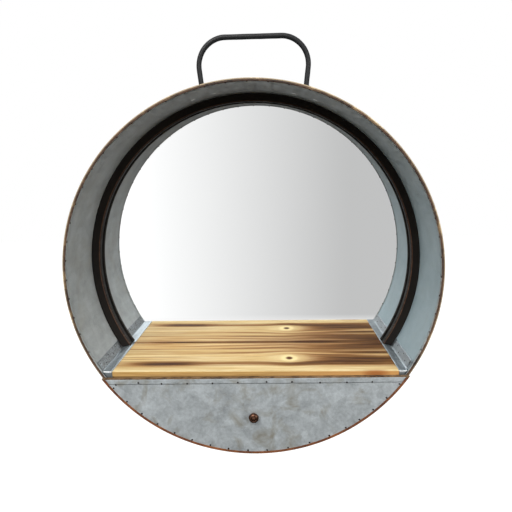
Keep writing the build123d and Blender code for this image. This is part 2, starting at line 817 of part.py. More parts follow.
def make_knob():
    """Round knob on a short stem, with a dished face that holds the head of its screw."""
    seat_y = front_skin_y
    face_y = seat_y - knob_height
    stem_y = seat_y - knob_stem_height
    widest_y = (stem_y + face_y) / 2
    rim_radius = knob_dimple_radius
    outline = Polyline(
        (0, face_y + knob_dimple_depth), (0, seat_y), (knob_stem_radius, seat_y),
        (knob_stem_radius, stem_y),
    )
    bulge = ThreePointArc((knob_stem_radius, stem_y), (knob_radius, widest_y),
                          (rim_radius, face_y))
    dish = Line((rim_radius, face_y), (0, face_y + knob_dimple_depth))
    knob = Pos(0, 0, knob_z) * revolve(make_face(outline + bulge + dish), Axis.Y)
    head_y = face_y + knob_dimple_depth
    flat = disc(knob_screw_head_radius, face_y - knob_height, head_y)
    knob -= Pos(0, 0, knob_z) * flat
    knob -= knob_axis * knob_hole
    add("knob", knob)
    shank = subfront_y + washer_thickness + nut_height - head_y
    screw = domed_pin(knob_screw_head_radius, knob_screw_head_height, knob_screw_radius, shank)
    for turn in (0, 90):
        screw -= Pos(0, 0, knob_screw_head_height) * Rot(0, 0, turn) * Box(
            knob_screw_head_radius, knob_slot_width, 2 * knob_slot_depth)
    add("knob_screw", at_surface((0, head_y, knob_z), (0, -1, 0)) * screw)
    ring = Cylinder(washer_radius, washer_thickness) - Cylinder(
        knob_screw_radius + screw_hole_fit, washer_thickness + overcut)
    add("knob_washer", knob_axis * Pos(0, 0, washer_thickness / 2) * ring)
    nut = extrude(RegularPolygon(nut_radius, 6), nut_height) - Cylinder(
        knob_screw_radius + screw_hole_fit, 2 * (nut_height + overcut))
    add("knob_nut", knob_axis * Pos(0, 0, washer_thickness) * nut)


make_hoop()
make_mirror()
make_moulding()
make_hangers()
make_handle()
make_shelf()
make_compartment()
make_drawer_box()
make_front()
make_knob()

os.makedirs("parts", exist_ok=True)
for name, shape in parts.items():
    shape.label = name
    export_step(shape, "parts/" + name + ".step")
    print(name, len(shape.solids()), "solid(s)")
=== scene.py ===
# %% [markdown]
# A round wall mirror in a deep galvanised drum, with a burnt softwood shelf, a drawer under it
# and a carrying handle on top.
# The measured model comes in first, as a fixed frame. Everything made here goes where that
# frame says, in metres, with +Z up, the wall at y = 0 and the room towards -Y.

# %% Load the measured model
from math import atan2, cos, exp, pi, radians, sin, sqrt

import bmesh
import bpy
import numpy as np
from mathutils import Matrix, Vector


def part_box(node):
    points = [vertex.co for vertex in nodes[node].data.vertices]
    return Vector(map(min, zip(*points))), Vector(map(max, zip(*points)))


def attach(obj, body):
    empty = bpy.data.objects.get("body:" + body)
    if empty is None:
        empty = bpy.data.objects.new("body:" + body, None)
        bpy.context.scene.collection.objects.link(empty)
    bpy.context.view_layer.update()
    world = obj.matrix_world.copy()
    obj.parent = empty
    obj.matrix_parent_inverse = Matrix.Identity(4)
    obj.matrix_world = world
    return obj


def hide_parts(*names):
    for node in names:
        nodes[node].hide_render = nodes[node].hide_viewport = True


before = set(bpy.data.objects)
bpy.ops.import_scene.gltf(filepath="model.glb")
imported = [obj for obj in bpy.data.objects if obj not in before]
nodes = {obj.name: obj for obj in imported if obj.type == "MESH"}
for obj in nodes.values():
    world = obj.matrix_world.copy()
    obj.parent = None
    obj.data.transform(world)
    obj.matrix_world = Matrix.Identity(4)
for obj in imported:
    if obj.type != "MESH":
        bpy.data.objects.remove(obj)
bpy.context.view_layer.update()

mm = 0.001
scene = bpy.context.scene

# %% [markdown]
# The sizes that several pieces share are read off the frame once, so that a change of the
# measured model carries through. Only what the frame can't tell, such as the thickness of a
# sheet or how far askew the drawer front hangs, is written here.

# %% Shared sizes
drum_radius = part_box("rim_strip")[1].x
rim_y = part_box("rim_strip")[0].y
plank_low, plank_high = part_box("shelf_plank")
moulding_front_y, moulding_back_y = (corner.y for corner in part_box("moulding"))
skin = 0.5 * mm
hoop_wall = 2.5 * mm
outer_radius = drum_radius - skin
wall_radius = outer_radius - skin - hoop_wall - skin
strip_inner_radius = wall_radius - skin
front_skew = radians(0.4)
print("drum", round(drum_radius / mm, 2), "mm, wall", round(wall_radius / mm, 2), "mm")

# %% [markdown]
# The camera stands where the photographer stood. Its place, its turns and its focal length were
# worked out from how the rim, the ring and the shelf line up with their reflections in the glass.

# %% Camera
camera_place = Vector((0.03242, -0.79419, 0.15546))
camera_yaw, camera_pitch, camera_roll = 0.03742, -0.18276, 0.01951
camera_lens = 32.48

camera = bpy.data.objects.new("camera", bpy.data.cameras.new("camera"))
camera.data.lens = camera_lens
camera.data.sensor_width = 36.0
camera.data.clip_start = 0.05
level = Matrix.Rotation(camera_yaw, 4, "Z") @ Matrix.Rotation(camera_pitch, 4, "X")
level = level @ Matrix.Rotation(camera_roll, 4, "Y") @ Matrix.Rotation(radians(90), 4, "X")
camera.matrix_world = Matrix.Translation(camera_place) @ level
scene.collection.objects.link(camera)
scene.camera = camera
scene.view_settings.view_transform = "Standard"
print("camera lens", camera_lens, "mm")

# %% [markdown]
# Both shader trees and geometry trees are made of nodes, joined socket to socket. A small
# helper adds a node and feeds its inputs, either with a plain value or with the output of
# another node. Every finish and every row of fasteners below is written with it.


# %% A helper that writes node trees
class NodeWriter:
    def __init__(self, tree):
        self.tree = tree

    def feed(self, socket, value):
        if isinstance(value, bpy.types.NodeSocket):
            self.tree.links.new(value, socket)
        else:
            socket.default_value = value

    def add(self, kind, inputs=None, **settings):
        node = self.tree.nodes.new(kind)
        for key, value in settings.items():
            setattr(node, key, value)
        for key, value in (inputs or {}).items():
            self.feed(node.inputs[key], value)
        return node

    def out(self, kind, inputs=None, **settings):
        """The first output of a new node."""
        return self.add(kind, inputs, **settings).outputs[0]

    def math(self, operation, *values, clamp=False):
        inputs = dict(enumerate(values))
        return self.out("ShaderNodeMath", inputs, operation=operation, use_clamp=clamp)

    def times(self, first, second, clamp=False):
        return self.math("MULTIPLY", first, second, clamp=clamp)

    def plus(self, first, second, clamp=False):
        return self.math("ADD", first, second, clamp=clamp)

    def minus(self, first, second, clamp=False):
        return self.math("SUBTRACT", first, second, clamp=clamp)

    def times_plus(self, first, second, third, clamp=False):
        return self.math("MULTIPLY_ADD", first, second, third, clamp=clamp)

    def swayed(self, base, pattern, strength):
        """The base, raised and lowered by a pattern whose middle is a half."""
        return self.times_plus(self.minus(pattern, 0.5), strength, base)

    def hump(self, value, middle, reach):
        """1 at the middle, falling smoothly to 0 on both sides of it."""
        off = self.math("DIVIDE", self.minus(value, middle), reach)
        return self.math("EXPONENT", self.times(self.times(off, off), -1.0))

    def vector(self, x, y, z):
        return self.out("ShaderNodeCombineXYZ", {0: x, 1: y, 2: z})

    def parts(self, vector):
        return self.add("ShaderNodeSeparateXYZ", {0: vector}).outputs

    def vector_math(self, operation, *values, output=0):
        inputs = dict(enumerate(values))
        return self.add("ShaderNodeVectorMath", inputs, operation=operation).outputs[output]

    def scaled(self, vector, factor):
        return self.out("ShaderNodeVectorMath", {0: vector, 3: factor}, operation="SCALE")

    def remap(self, value, low, high, to_low=0.0, to_high=1.0):
        """The value brought from one range to another, and held inside it."""
        inputs = {0: value, 1: low, 2: high, 3: to_low, 4: to_high}
        return self.out("ShaderNodeMapRange", inputs)

    def mix(self, share, first, second):
        """A colour between two others."""
        inputs = {0: share, 6: first, 7: second}
        return self.add("ShaderNodeMix", inputs, data_type="RGBA").outputs[2]

    def layers(self, base, *coats):
        """Colours laid one over the other on a base, each as its share and its colour."""
        for share, tone in coats:
            base = self.mix(share, base, tone)
        return base


def colour(red, green, blue):
    """A colour as it looks on a screen, 0 to 255, turned into the linear light of a shader."""
    def linear(level):
        share = level / 255
        return share / 12.92 if share <= 0.04045 else ((share + 0.055) / 1.055) ** 2.4
    return (linear(red), linear(green), linear(blue), 1.0)


def even(level):
    """A grey of that linear light."""
    return (level, level, level, 1)


class Finish(NodeWriter):
    """A material under construction, with the few patterns that every finish here uses."""

    def __init__(self, name, metallic=0.0, roughness=0.5):
        self.material = bpy.data.materials.new(name)
        self.material.use_nodes = True
        super().__init__(self.material.node_tree)
        self.shader = self.tree.nodes["Principled BSDF"]
        self.give("Metallic", metallic)
        self.give("Roughness", roughness)
        self.place = self.add("ShaderNodeTexCoord").outputs["Object"]
        self.x, self.y, self.z = self.parts(self.place)

    def give(self, key, value):
        self.feed(self.shader.inputs[key], value)

    def surface(self, shader):
        """Another shader in place of the plain one."""
        self.feed(self.tree.nodes["Material Output"].inputs["Surface"], shader)

    def clouds(self, scale, detail=3.0, rough=0.5, stretch=(1, 1, 1), warp=0.0, place=None):
        """Soft noise from 0 to 1 with so many patches a metre, stretched along an axis by
        a share under 1."""
        squeezed = self.out("ShaderNodeMapping", {0: place or self.place, 3: stretch})
        inputs = {"Vector": squeezed, "Scale": scale, "Detail": detail, "Roughness": rough,
                  "Distortion": warp}
        return self.out("ShaderNodeTexNoise", inputs)

    def crystals(self, scale):
        """Random grey for each crystal of a metal coat."""
        cells = self.add("ShaderNodeTexVoronoi", {"Vector": self.place, "Scale": scale})
        return self.parts(cells.outputs["Color"])[0]

    def from_axis(self):
        """Distance from the axis of the drum."""
        return self.math("SQRT", self.times_plus(self.x, self.x, self.times(self.z, self.z)))

    def finished(self, colours, roughness, height, depth):
        """The material with these colours and this roughness, and with relief of that depth
        in metres where the height goes from 0 to 1."""
        self.give("Base Color", colours)
        self.give("Roughness", roughness)
        self.give("Normal", self.out("ShaderNodeBump", {"Height": height, "Distance": depth}))
        return self.material


print("red, green and blue of a middle grey", colour(128, 128, 128)[:3])

# %% [markdown]
# Galvanised sheet is steel with a skin of zinc. The zinc cools into crystals, the spangle, and
# then dulls in clouds, with warm smudges where rust and handling show. One function writes it
# for every sheet, because the sheets differ mostly in how coarse and how dark the clouds are.
# On the drum wall it also paints light and shade, a lighter and bluer right side and a darker
# top, and on the brackets painted shade above their tops and a painted highlight on their folds.


# %% Galvanised sheet
def galvanised(name, tone, patch, contrast, warm, brushed=(1, 1, 1), metallic=0.35, gloss=0.5,
               painted_light_share=0, folded_at=None):
    """Zinc-coated sheet: tone is its middle colour, patch the clouds a metre, contrast their
    strength, warm how far the smudges show, cooler how far the right side is painted lighter and
    bluer, as painted light; when cooler is given, the top of the drum is also painted darker, as
    painted shade. folded_at, a height z, is where a bracket's top lies: what stands above it is
    painted darker, as painted shade, more so on the left, and its front fold gets a painted
    highlight."""
    make = Finish(name, metallic=metallic)
    broad = make.clouds(patch, detail=5, rough=0.62, warp=0.35)
    fine = make.clouds(patch * 6, detail=4, rough=0.6, stretch=brushed)
    grit = make.clouds(900, detail=2, rough=0.6, stretch=brushed)
    shade = make.times_plus(broad, 1.5 * contrast, 1 - 0.75 * contrast)
    for pattern, strength in ((fine, 0.9), (make.crystals(75), 0.22), (grit, 0.30)):
        shade = make.swayed(shade, pattern, strength * contrast)
    smudge = make.remap(make.clouds(patch * 0.8, detail=4, rough=0.6, warp=0.6), 0.52, 0.72)
    base = make.mix(make.times(smudge, warm), make.scaled(tone[:3], shade), colour(139, 133, 116))
    if painted_light_share:
        # painted light: the right side of the drum wall is painted lighter and bluer
        painted_light_mask = make.times(make.remap(make.x, -0.05, 0.22), painted_light_share)
        # painted shade: the top of the drum wall is painted darker
        painted_shade_top = make.remap(make.z, 0.1, 0.27, 0, 0.65)
        base = make.layers(base, (painted_light_mask, colour(146, 178, 190)), (painted_shade_top, colour(92, 94, 88)))
    if folded_at is not None:
        # painted shade: above the bracket's top the sheet is painted darker, more so on the left
        painted_shade_flange = make.times(make.remap(make.x, -0.15, 0.15, 0.85, 0.3),
                            make.remap(make.z, folded_at + 0.02 * mm, folded_at + 0.2 * mm))
        shaded_mottle = make.mix(make.remap(fine, 0.4, 0.6), colour(88, 91, 92), colour(140, 145, 147))
        # painted highlight: a near-white line painted along the bracket's front fold
        highlight_fold_y = plank_low.y + 1.2 * mm
        fold = make.times(make.remap(make.y, highlight_fold_y, highlight_fold_y - 0.5 * mm),
                          make.remap(make.z, folded_at - 1.8 * mm, folded_at - 1.2 * mm))
        base = make.layers(base, (painted_shade_flange, shaded_mottle), (fold, colour(236, 238, 238)))
    rough = make.remap(fine, 0.3, 0.7, 0.92 - gloss, 1.10 - gloss)
    return make.finished(base, rough, make.plus(grit, make.times(broad, 2.0)), 0.12 * mm)


wall_zinc = galvanised("galvanised_wall", colour(160, 166, 167), 22, 0.55, 0.3, (1, 0.2, 1),
                       painted_light_share=0.5)
front_zinc = galvanised("galvanised_front", colour(178, 184, 186), 34, 0.75, 0.85)
bracket_zinc = galvanised("galvanised_bracket", colour(146, 155, 160), 60, 0.6, 0.1,
                          metallic=0.82, gloss=0.62, folded_at=plank_high.z)
back_zinc = galvanised("galvanised_back", colour(150, 157, 160), 18, 0.28, 0.3)
print("zinc finishes", wall_zinc.name, front_zinc.name, bracket_zinc.name, back_zinc.name)

# %% [markdown]
# The edge strips are the same sheet left bare, so they have gone rust-brown. Rust is never one
# colour: dark scale, orange bloom and khaki patches where a little zinc is left lie side by side.


# %% Rusty edges
def rusty(name, dark, middle, bloom, bloom_share, into_zinc=None, top_edge=None):
    """Rusted steel. With into_zinc, a depth y, the rust fades to zinc behind that depth, and
    the outer edge is pale: wear, and a painted highlight where the rounded edge catches the light.
    With top_edge, a height z, it is painted darker and duller above that height, as painted shade
    next to the plank."""
    make = Finish(name, metallic=0.1)
    patches = make.clouds(55, detail=5, rough=0.65, warp=0.4)
    specks = make.clouds(420, detail=3, rough=0.6)
    flare = make.remap(make.clouds(38, detail=4, rough=0.6), 0.62 - bloom_share * 0.3, 0.72)
    base = make.layers(dark, (make.remap(patches, 0.35, 0.62), middle), (flare, bloom),
                       (make.remap(specks, 0.55, 0.75, 0, 0.6), dark))
    if into_zinc is not None:
        radius = make.from_axis()
        ragged = make.swayed(radius, specks, 1.6 * mm)
        # the pale outer edge: wear, and a painted highlight where the rounded edge catches the light
        pale_edge_and_highlight = make.times(make.remap(ragged, drum_radius - 1.9 * mm, drum_radius - 1.0 * mm),
                         make.remap(flare, 0.0, 0.4, 0.55, 1.0))
        depth = make.swayed(make.y, patches, 3 * mm)
        fade = make.times(make.remap(depth, into_zinc, into_zinc + 0.7 * mm),
                          make.remap(radius, strip_inner_radius + 0.9 * mm,
                                     strip_inner_radius + 0.4 * mm))
        base = make.layers(base, (pale_edge_and_highlight, colour(212, 192, 156)), (fade, colour(168, 176, 177)))
    if top_edge is not None:
        height = make.times_plus(make.x, -sin(front_skew), make.z)
        # painted shade: above top_edge, next to the plank, the rust is painted darker and duller
        painted_shade_top = make.mix(make.remap(patches, 0.4, 0.6), colour(74, 54, 36), colour(128, 102, 72))
        base = make.mix(make.remap(height, top_edge, top_edge + 0.4 * mm), base, painted_shade_top)
    return make.finished(base, make.remap(specks, 0.3, 0.7, 0.5, 0.8), specks, 0.15 * mm)


rim_rust = rusty("rusty_rim", colour(38, 26, 20), colour(92, 66, 48), colour(140, 116, 84),
                 0.25, into_zinc=rim_y + 0.6 * mm)
front_rust = rusty("rusty_front_edge", colour(84, 48, 30), colour(128, 78, 46),
                   colour(160, 100, 56), 0.4, top_edge=plank_low.z + 3.0 * mm)
print("rust finishes", rim_rust.name, front_rust.name)

# %% [markdown]
# The dark parts are nearly black brown paint and gunmetal, smooth and slightly uneven, with
# faint clouds and specks where what is under the paint shows. The tacks are blackened, the
# screws are zinc-plated and the knob is antique copper.


# %% Painted, plated and silvered finishes
def painted(name, tone, worn, metallic, roughness, scale=60, gleam=0.5):
    """A dark smooth finish with faint clouds, and specks that show what is under it."""
    make = Finish(name, metallic=metallic)
    clouds = make.clouds(scale, detail=5, rough=0.6)
    specks = make.clouds(scale * 14, detail=2)
    base = make.layers(tone, (make.remap(clouds, 0.3, 0.7), worn),
                       (make.remap(specks, 0.66, 0.8, 0, 0.6), worn))
    make.give("Specular IOR Level", gleam)
    rough = make.remap(clouds, 0.3, 0.7, roughness - 0.06, roughness + 0.1)
    return make.finished(base, rough, specks, 0.05 * mm)


dark_paint = painted("dark_moulding", colour(34, 30, 27), colour(54, 45, 38), 0.0, 0.42)
gunmetal = painted("gunmetal", colour(20, 20, 21), colour(30, 30, 31), 0.0, 0.46, 90, gleam=0.3)
black_steel = painted("blackened_tack", colour(34, 30, 30), colour(62, 54, 50), 0.6, 0.42, 400)
zinc_plate = painted("zinc_plate", colour(168, 168, 164), colour(140, 139, 134), 0.9, 0.35, 300)
copper = painted("antique_copper", colour(66, 42, 31), colour(104, 72, 54), 0.8, 0.27, 260)


def silvered():
    """Silver behind clean glass."""
    make = Finish("silvered_glass", metallic=1.0, roughness=0.0)
    haze = make.clouds(6, detail=2)
    make.give("Base Color", make.mix(haze, (0.93, 0.94, 0.94, 1), (0.95, 0.955, 0.955, 1)))
    return make.material


mirror_silver = silvered()
print("dark and plated finishes", dark_paint.name, gunmetal.name, copper.name)

# %% [markdown]
# Wood that doesn't show in front still has its grain: plywood for the hoop and the drawer box,
# hardwood for the runners, pressed fibre for the backing board. Grain is noise that is drawn
# out along the length of the board.


# %% Plain woods
def plain_wood(name, light, dark, along, grain, roughness=0.6):
    """Raw wood whose fibres run along one axis, given as small stretch on that axis."""
    make = Finish(name)
    bands = make.clouds(grain, detail=4, rough=0.6, stretch=along, warp=0.3)
    fibres = make.clouds(grain * 9, detail=3, rough=0.7, stretch=along)
    base = make.layers(light, (make.remap(bands, 0.35, 0.65), dark),
                       (make.remap(fibres, 0.55, 0.75, 0, 0.5), dark))
    rough = make.remap(fibres, 0.3, 0.7, roughness - 0.08, roughness + 0.12)
    return make.finished(base, rough, fibres, 0.12 * mm)


along_x, along_y, no_way = (0.06, 1, 1), (1, 0.06, 1), (1, 1, 1)
ply_light, ply_dark = colour(206, 176, 132), colour(176, 140, 95)
box_wood = plain_wood("drawer_wood", ply_light, ply_dark, along_x, 60)
side_wood = plain_wood("drawer_side_wood", ply_light, ply_dark, along_y, 60)
hard_wood = plain_wood("waxed_hardwood", colour(158, 113, 72), colour(120, 80, 48), along_y, 90, 0.45)
ply_edge = plain_wood("bent_plywood", colour(190, 158, 116), colour(150, 116, 78), along_y, 120)
fibre_board = plain_wood("pressed_fibre", colour(132, 104, 76), colour(104, 80, 58), no_way, 160)
print("plain woods", box_wood.name, hard_wood.name, fibre_board.name)

# %% [markdown]
# The nodes of the measured model keep their shapes and take these finishes. A table from
# finish to nodes reads like a parts list in a workshop.

# %% Finishes of the measured pieces
finish_of = {
    wall_zinc: ["inner_skin"],
    back_zinc: ["outer_skin"],
    front_zinc: ["front_skin", "front_hem"],
    bracket_zinc: ["bracket_left", "bracket_right"],
    rim_rust: ["rim_strip"],
    front_rust: ["front_edging"],
    dark_paint: ["moulding"],
    mirror_silver: ["mirror_glass"],
    fibre_board: ["backing_board", "front_core"],
    ply_edge: ["hoop_core"],
    box_wood: ["drawer_subfront", "drawer_back", "drawer_bottom", "shelf_plank"],
    side_wood: ["drawer_side_left", "drawer_side_right", "cheek_left", "cheek_right"],
    hard_wood: ["glass_rail", "cleat_left", "cleat_right", "runner_left", "runner_right",
                "drawer_stop"],
    gunmetal: ["handle_rod", "handle_saddle_left", "handle_saddle_right"],
    black_steel: ["rim_tacks", "bracket_tacks", "front_arc_tacks", "front_top_tacks"],
    zinc_plate: ["hanger_left", "hanger_right", "hanger_screws", "board_screws", "plank_screws",
                 "handle_rivets", "cheek_screws", "runner_screws", "cleat_screws",
                 "stop_screws", "box_nails", "front_screws", "knob_washer", "knob_nut"],
    copper: ["knob", "knob_screw"],
}
for material, names in finish_of.items():
    for name in names:
        nodes[name].data.materials.clear()
        nodes[name].data.materials.append(material)
print("nodes with a finish", sum(len(names) for names in finish_of.values()), "of", len(nodes))

# %% [markdown]
# The tacks, the screws in the side of the drum and the carrying handle are made with geometry
# nodes: a tree of nodes that a modifier runs. One row of tacks is like the next, so one tree
# serves for all of them, and only its named inputs change: how many, on what radius, how far
# apart, and which pin is set down. The helper below writes such a tree and turns its result
# into a plain mesh, so that no modifier is left on the finished piece.


# %% A helper for geometry trees
socket_kinds = {float: "NodeSocketFloat", int: "NodeSocketInt", tuple: "NodeSocketVector"}
nowhere = (0.0, 0.0, 0.0)


class Recipe(NodeWriter):
    """A geometry tree with named inputs, each with a value that it has by itself."""

    def __init__(self, name, finish, **inputs):
        super().__init__(bpy.data.node_groups.new(name, "GeometryNodeTree"))
        sides = self.tree.interface
        sides.new_socket("Geometry", in_out="OUTPUT", socket_type="NodeSocketGeometry")
        for key, value in inputs.items():
            kind = socket_kinds.get(type(value), "NodeSocketObject")
            socket = sides.new_socket(key, in_out="INPUT", socket_type=kind)
            if value is not None:
                socket.default_value = value
        sides.new_socket("finish", in_out="INPUT", socket_type="NodeSocketMaterial")
        self.given = self.tree.nodes.new("NodeGroupInput").outputs
        self.finish = finish

    def end(self, shape):
        """Real meshes in place of instances, and the finish on all of them."""
        real = self.out("GeometryNodeRealizeInstances", {0: shape})
        smooth = self.out("GeometryNodeSetShadeSmooth", {0: real})
        done = self.out("GeometryNodeSetMaterial", {0: smooth, "Material": self.given["finish"]})
        self.feed(self.tree.nodes.new("NodeGroupOutput").inputs[0], done)

    def mesh(self, name, **values):
        """The plain mesh that the tree gives with these inputs."""
        holder = bpy.data.objects.new(name, bpy.data.meshes.new(name))
        scene.collection.objects.link(holder)
        modifier = holder.modifiers.new(name, "NODES")
        modifier.node_group = self.tree
        values.setdefault("finish", self.finish)
        for item in self.tree.interface.items_tree:
            if item.in_out == "INPUT" and item.name in values:
                modifier[item.identifier] = values[item.name]
        bpy.context.view_layer.update()
        evaluated = holder.evaluated_get(bpy.context.evaluated_depsgraph_get())
        mesh = bpy.data.meshes.new_from_object(evaluated)
        bpy.data.objects.remove(holder)
        mesh.name = name
        return mesh


def piece(name, mesh, body, replaced):
    """A finished piece of the object: its place is in its mesh, it rides on a body, and it
    stands in for one node of the measured model."""
    thing = bpy.data.objects.new(name, mesh)
    scene.collection.objects.link(thing)
    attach(thing, body)
    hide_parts(replaced)
    return thing


def mesh_from(name, corners, faces, material=None):
    mesh = bpy.data.meshes.new(name)
    mesh.from_pydata(corners, [], faces)
    if material is not None:
        mesh.materials.append(material)
    mesh.polygons.foreach_set("use_smooth", [True] * len(mesh.polygons))
    mesh.update()
    return mesh


def mended(mesh, before=None, after=None):
    """The mesh with its faces turned outwards, and with changes made before and after that."""
    shape = bmesh.new()
    shape.from_mesh(mesh)
    if before:
        before(shape)
    bmesh.ops.recalc_face_normals(shape, faces=shape.faces)
    if after:
        after(shape)
    shape.to_mesh(mesh)
    shape.free()
    return mesh


print("kinds of named input", list(socket_kinds.values()))

# %% [markdown]
# A tack is turned on a lathe: a low dome, a flat under it and a thin shank. The screws that
# hold the backing board have a cross pressed into the dome. Each is modelled once, round +Z
# with its head on the plane z = 0, and only serves as the pattern for the rows.


# %% Tacks and screws as patterns
def lathed_pin(name, head, height, shank, length, sides, cross=0.0):
    """Round-headed pin. cross is the width of a cross-shaped recess, or 0 for none."""
    sphere = (head**2 + height**2) / (2 * height)
    steps = 7 if cross else 3
    rings = []
    for step in range(1, steps + 1):
        radius = head * step / steps
        rings.append((radius, sqrt(sphere**2 - radius**2) - sphere + height))
    rings += [(shank, 0), (shank, -length)]
    corners = [Vector((0, 0, height))]
    for radius, z in rings:
        for side in range(sides):
            turn = 2 * pi * (side + 0.5) / sides
            corners.append(Vector((radius * cos(turn), radius * sin(turn), z)))
    if cross:
        for corner in corners[:1 + sides * (steps - 2)]:
            narrow = min(abs(corner.x), abs(corner.y))
            corner.z -= 0.9 * height / (1 + exp((narrow - cross / 2) / (0.12 * cross)))
    corners.append(Vector((0, 0, -length)))
    last = len(corners) - 1
    faces = [(0, 1 + side, 1 + (side + 1) % sides) for side in range(sides)]
    for ring in range(len(rings) - 1):
        start = 1 + ring * sides
        for side in range(sides):
            turn = (side + 1) % sides
            faces.append((start + side, start + sides + side, start + sides + turn, start + turn))
    start = last - sides
    faces += [(last, start + (side + 1) % sides, start + side) for side in range(sides)]
    pattern = bpy.data.objects.new(name, mesh_from(name, corners, faces))
    scene.collection.objects.link(pattern)
    return pattern


tack_head, small_head = 1.5 * mm, 1.15 * mm
tack_pattern = lathed_pin("tack_pattern", tack_head, 0.8 * mm, 0.6 * mm, 3.1 * mm, 10)
small_tack_pattern = lathed_pin("small_tack_pattern", small_head, 0.7 * mm, 0.6 * mm, 0.8 * mm, 10)
screw_pattern = lathed_pin("screw_pattern", 3.2 * mm, 1.4 * mm, 1.6 * mm, 14.5 * mm, 32, 1.3 * mm)
print("tack faces", len(tack_pattern.data.polygons), "screw faces", len(screw_pattern.data.polygons))

# %% [markdown]
# The tree for a row of pins puts points on a line, moves them to their places and sets a pin
# on each. A place is a start, plus so many steps of a row, plus a turn on a radius about the
# drum's axis. The pins face in or out along that radius, or along a direction of their own. A
# row set by hand wanders: a seeded random shift, a small tilt, and a stretch in the middle of
# the row where a round one drifts on and a straight one lags behind its even places.


# %% The tree for rows of pins
def row_of_pins():
    tree = Recipe("row_of_pins", black_steel, pin=None, count=10, start=nowhere, row_step=nowhere,
                  radius=0.0, first_angle=0.0, angle_step=0.0, zigzag=0.0, drift=0.0, lag=0.0,
                  drift_middle=0.0, drift_reach=1.0, inward=0.0, facing=nowhere, gap_low=10.0,
                  gap_high=10.0, wander=0.0, tilt=0.0, seed=1)
    given = tree.given

    def random_vector():
        """Three numbers from -1 to 1 for each pin, the same in every run."""
        inputs = {0: (-1, -1, -1), "Seed": given["seed"]}
        return tree.out("FunctionNodeRandomValue", inputs, data_type="FLOAT_VECTOR")

    line = tree.out("GeometryNodeMeshLine", {"Count": given["count"]})
    number = tree.out("GeometryNodeInputIndex")
    crowd = tree.hump(number, given["drift_middle"], given["drift_reach"])
    angle = tree.times_plus(number, given["angle_step"], given["first_angle"])
    angle = tree.times_plus(tree.math("MODULO", number, 2.0), given["zigzag"], angle)
    angle = tree.times_plus(crowd, given["drift"], angle)
    outward = tree.vector(tree.math("COSINE", angle), 0.0, tree.math("SINE", angle))
    steps = tree.times_plus(crowd, given["lag"], number)
    place = tree.vector_math("ADD", given["start"], tree.scaled(given["row_step"], steps))
    place = tree.vector_math("ADD", place, tree.scaled(outward, given["radius"]))
    shift = tree.vector_math("MULTIPLY", random_vector(), (1.0, 0.0, 1.0))
    off_wall = tree.vector_math("DOT_PRODUCT", shift, outward, output="Value")
    off_wall = tree.times(off_wall, tree.math("GREATER_THAN", given["radius"], 0.0))
    along = tree.vector_math("SUBTRACT", shift, tree.scaled(outward, off_wall))
    offset = tree.scaled(along, given["wander"])
    points = tree.out("GeometryNodeSetPosition", {0: line, "Position": place, "Offset": offset})
    rise = tree.math("ARCSINE", tree.math("SINE", angle))
    in_gap = tree.times(tree.math("GREATER_THAN", rise, given["gap_low"]),
                        tree.math("LESS_THAN", rise, given["gap_high"]))
    aim = tree.vector_math("ADD", given["facing"], tree.scaled(outward, given["inward"]))
    aimed = tree.out("GeometryNodeStoreNamedAttribute", {0: points, "Name": "aim", "Value": aim},
                     data_type="FLOAT_VECTOR")
    left = tree.out("GeometryNodeDeleteGeometry", {0: aimed, 1: in_gap})
    held = tree.out("GeometryNodeInputNamedAttribute", {"Name": "aim"}, data_type="FLOAT_VECTOR")
    turn = tree.out("FunctionNodeAlignRotationToVector", {"Vector": held}, axis="Z")
    lean = tree.scaled(random_vector(), given["tilt"])
    spin = tree.out("FunctionNodeRotateRotation", {0: turn, 1: lean}, rotation_space="LOCAL")
    shape = tree.add("GeometryNodeObjectInfo", {"Object": given["pin"]}).outputs["Geometry"]
    tree.end(tree.out("GeometryNodeInstanceOnPoints", {0: left, "Instance": shape, "Rotation": spin}))
    return tree


pins = row_of_pins()
print("inputs of the row", [item.name for item in pins.tree.interface.items_tree][:6], "and more")

# %% [markdown]
# The rows themselves. The tacks of the rim go in from inside the drum, one every six degrees,
# and leave room for the brackets. Those of the drawer front follow its arc and its top edge,
# and the whole front hangs 0.4 degrees askew, so their angles do too. Each bracket has six
# small ones in a zigzag on its wall flange.


# %% Rows of tacks and screws
def seated(radius, head):
    """Where a flat head inside a round wall rests its edge on that wall."""
    return sqrt(radius**2 - head**2)


def set_row(name, body, slot, replaced, **values):
    """One row of pins as a finished piece."""
    return piece(name, pins.mesh(name, **values), body, replaced)


towards_room = (0, -1, 0)
rim_pitch = radians(6)
rim_tack_y = rim_y + 2 * mm
bracket_gap = (radians(-37.8), radians(-27.1))
rim_row = set_row("rim_tacks_row", "frame", "dark_tack", "rim_tacks", pin=tack_pattern,
                  count=round(2 * pi / rim_pitch), start=(0, rim_tack_y, 0),
                  radius=seated(strip_inner_radius, tack_head), angle_step=rim_pitch, inward=-1.0,
                  gap_low=bracket_gap[0], gap_high=bracket_gap[1], wander=1.1 * mm, tilt=0.05, seed=4)

front_radius = drum_radius - 1.5 * mm
front_skin_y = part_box("front_skin")[0].y
arc_inset = 5.2 * mm
arc_count, arc_first, arc_last = 18, radians(-37.0), radians(-142.2)
arc_row = set_row("front_arc_tacks_row", "drawer", "dark_tack", "front_arc_tacks",
                  pin=tack_pattern, count=arc_count, start=(0, front_skin_y, 0),
                  radius=front_radius - arc_inset, first_angle=arc_first + front_skew,
                  angle_step=(arc_last - arc_first) / (arc_count - 1), drift=radians(2.6),
                  drift_middle=4.8, drift_reach=2.2, facing=towards_room, wander=0.5 * mm,
                  tilt=0.06, seed=9)

